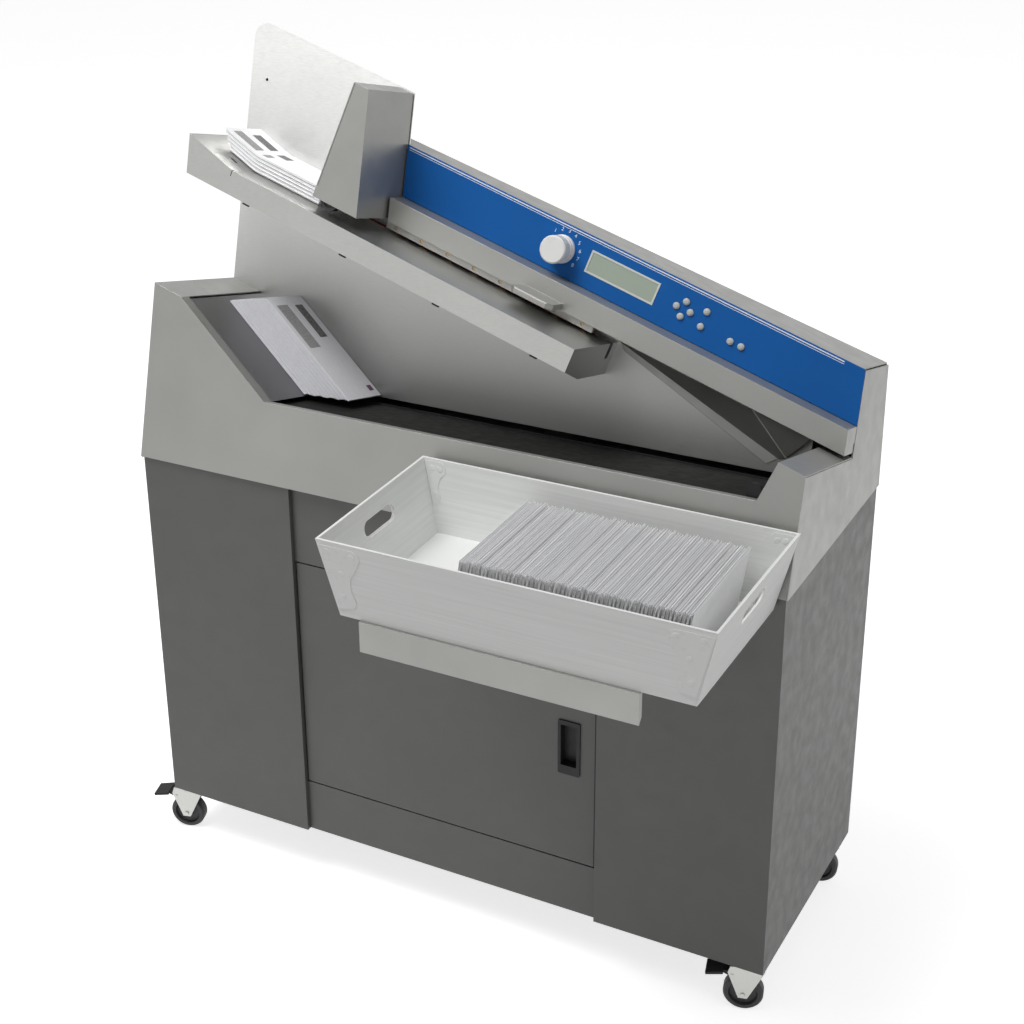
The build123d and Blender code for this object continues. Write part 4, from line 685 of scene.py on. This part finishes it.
def add_door_strip():
    """Black strip down the latch edge of the door: painted shade that widens the dark gap there."""
    latch_x = (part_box("cabinet_door")[1][0] - CENTRE.x) / MM
    door_face_y = -204.5
    ends_z = (191.0, 615.0)
    section = [(-3.2, 0.05), (-3.0, -0.35), (-0.2, -0.35), (0.0, 0.05)]
    rings = [[(latch_x + x, door_face_y + y, z) for x, y in section] for z in ends_z]
    verts, faces = tube_of_rings(rings)
    strip = add_piece("door_gap_painted_shade", verts, faces, MATERIALS["black_plastic"], "door")


add_feed_letters()
add_output_letters()
add_tray_letters()
add_tray_fittings()
add_panel_print()
add_screen_face()
add_knob_ribs()
add_deck_clips()
add_door_strip()


# ---- camera, from the photograph ----
FOCAL_PX = 1919.85
PICTURE_PX = 1024
PRINCIPAL_PX = (381.8, 469.9)
CAMERA_AZIMUTH = radians(30.985)
CAMERA_ELEVATION = radians(24.744)
CAMERA_ROLL = radians(-2.092)
CAMERA_PLACE = CENTRE + Vector((1.2975, -2.5324, 2.0693))


def add_camera():
    data = bpy.data.cameras.new("camera")
    camera = bpy.data.objects.new("camera", data)
    bpy.context.scene.collection.objects.link(camera)
    data.sensor_width = 36.0
    data.lens = FOCAL_PX / PICTURE_PX * data.sensor_width
    data.shift_x = (PICTURE_PX / 2 - PRINCIPAL_PX[0]) / PICTURE_PX
    data.shift_y = (PRINCIPAL_PX[1] - PICTURE_PX / 2) / PICTURE_PX
    level = cos(CAMERA_ELEVATION)
    back = Vector((sin(CAMERA_AZIMUTH) * level, -cos(CAMERA_AZIMUTH) * level, sin(CAMERA_ELEVATION)))
    right = Vector((cos(CAMERA_AZIMUTH), sin(CAMERA_AZIMUTH), 0))
    up = back.cross(right)
    turned_right = cos(CAMERA_ROLL) * right + sin(CAMERA_ROLL) * up
    turned_up = cos(CAMERA_ROLL) * up - sin(CAMERA_ROLL) * right
    rotation = Matrix((turned_right, turned_up, back)).transposed().to_4x4()
    camera.matrix_world = Matrix.Translation(CAMERA_PLACE) @ rotation
    bpy.context.scene.camera = camera


# ---- floor, light and picture settings ----
FLOOR_HALF = 14.0
FLOOR_GLOW = 0.73
WORLD_LIGHT = 0.24
WORLD_OVERHEAD = 0.45
OVERHEAD_FROM = 0.9
KEY = {"place": (-1.1, -1.1, 4.5), "target": (-0.1, 0, 0.9), "size": (2.2, 2.2), "power": 140}
FILL = {"place": (3.2, -0.8, 2.4), "target": (0, 0, 0.8), "size": (2.0, 2.0), "power": 12}


def add_area_light(name, place, target, size, power):
    data = bpy.data.lights.new(name, "AREA")
    data.shape = "RECTANGLE"
    data.size, data.size_y = size
    data.energy = power
    light = bpy.data.objects.new(name, data)
    bpy.context.scene.collection.objects.link(light)
    light.location = place
    light.rotation_euler = (Vector(target) - Vector(place)).to_track_quat("-Z", "Y").to_euler()


def seen_directly(tree):
    """1 for rays from the eye, a mirror or glass, 0 for rays that carry light."""
    path = tree.nodes.new("ShaderNodeLightPath")
    total = None
    for kind in ("Is Camera Ray", "Is Glossy Ray", "Is Transmission Ray"):
        if total is None:
            total = path.outputs[kind]
            continue
        largest = tree.nodes.new("ShaderNodeMath")
        largest.operation = "MAXIMUM"
        tree.links.new(total, largest.inputs[0])
        tree.links.new(path.outputs[kind], largest.inputs[1])
        total = largest.outputs["Value"]
    return total


def add_floor():
    """Pale floor that reads white and keeps the object's soft shadow."""
    material = new_material("floor", (0.8, 0.8, 0.8), 0.9)
    tree = material.node_tree
    glow = add(material, "ShaderNodeEmission")
    strength = add(material, "ShaderNodeMath", operation="MULTIPLY")
    link(material, seen_directly(tree), strength.inputs[0])
    strength.inputs[1].default_value = FLOOR_GLOW
    link(material, strength.outputs["Value"], glow.inputs["Strength"])
    both = add(material, "ShaderNodeAddShader")
    link(material, principled(material).outputs["BSDF"], both.inputs[0])
    link(material, glow.outputs["Emission"], both.inputs[1])
    link(material, both.outputs["Shader"], tree.nodes["Material Output"].inputs["Surface"])
    mesh = bpy.data.meshes.new("floor")
    corners = [(x * FLOOR_HALF, y * FLOOR_HALF, 0) for x, y in ((-1, -1), (1, -1), (1, 1), (-1, 1))]
    mesh.from_pydata(corners, [], [(0, 1, 2, 3)])
    floor = bpy.data.objects.new("floor", mesh)
    bpy.context.scene.collection.objects.link(floor)
    dress(floor, material)


def set_world():
    """Soft even light; mirrors see a white room that is dimmer overhead."""
    world = bpy.data.worlds.new("studio")
    bpy.context.scene.world = world
    world.use_nodes = True
    tree = world.node_tree
    lighting = tree.nodes["Background"]
    lighting.inputs["Color"].default_value = (1, 1, 1, 1)
    lighting.inputs["Strength"].default_value = WORLD_LIGHT
    coords = tree.nodes.new("ShaderNodeTexCoord")
    split = tree.nodes.new("ShaderNodeSeparateXYZ")
    tree.links.new(coords.outputs["Generated"], split.inputs["Vector"])
    fade = tree.nodes.new("ShaderNodeMapRange")
    fade.inputs["From Min"].default_value = 0.0
    fade.inputs["From Max"].default_value = OVERHEAD_FROM
    fade.inputs["To Min"].default_value = 1.0
    fade.inputs["To Max"].default_value = WORLD_OVERHEAD
    tree.links.new(split.outputs["Z"], fade.inputs["Value"])
    room = tree.nodes.new("ShaderNodeBackground")
    room.inputs["Color"].default_value = (1, 1, 1, 1)
    tree.links.new(fade.outputs["Result"], room.inputs["Strength"])
    mix = tree.nodes.new("ShaderNodeMixShader")
    tree.links.new(seen_directly(tree), mix.inputs["Fac"])
    tree.links.new(lighting.outputs["Background"], mix.inputs[1])
    tree.links.new(room.outputs["Background"], mix.inputs[2])
    tree.links.new(mix.outputs["Shader"], tree.nodes["World Output"].inputs["Surface"])


add_camera()
add_floor()
set_world()
add_area_light("key", **KEY)
add_area_light("fill", **FILL)
bpy.context.scene.view_settings.view_transform = "Standard"
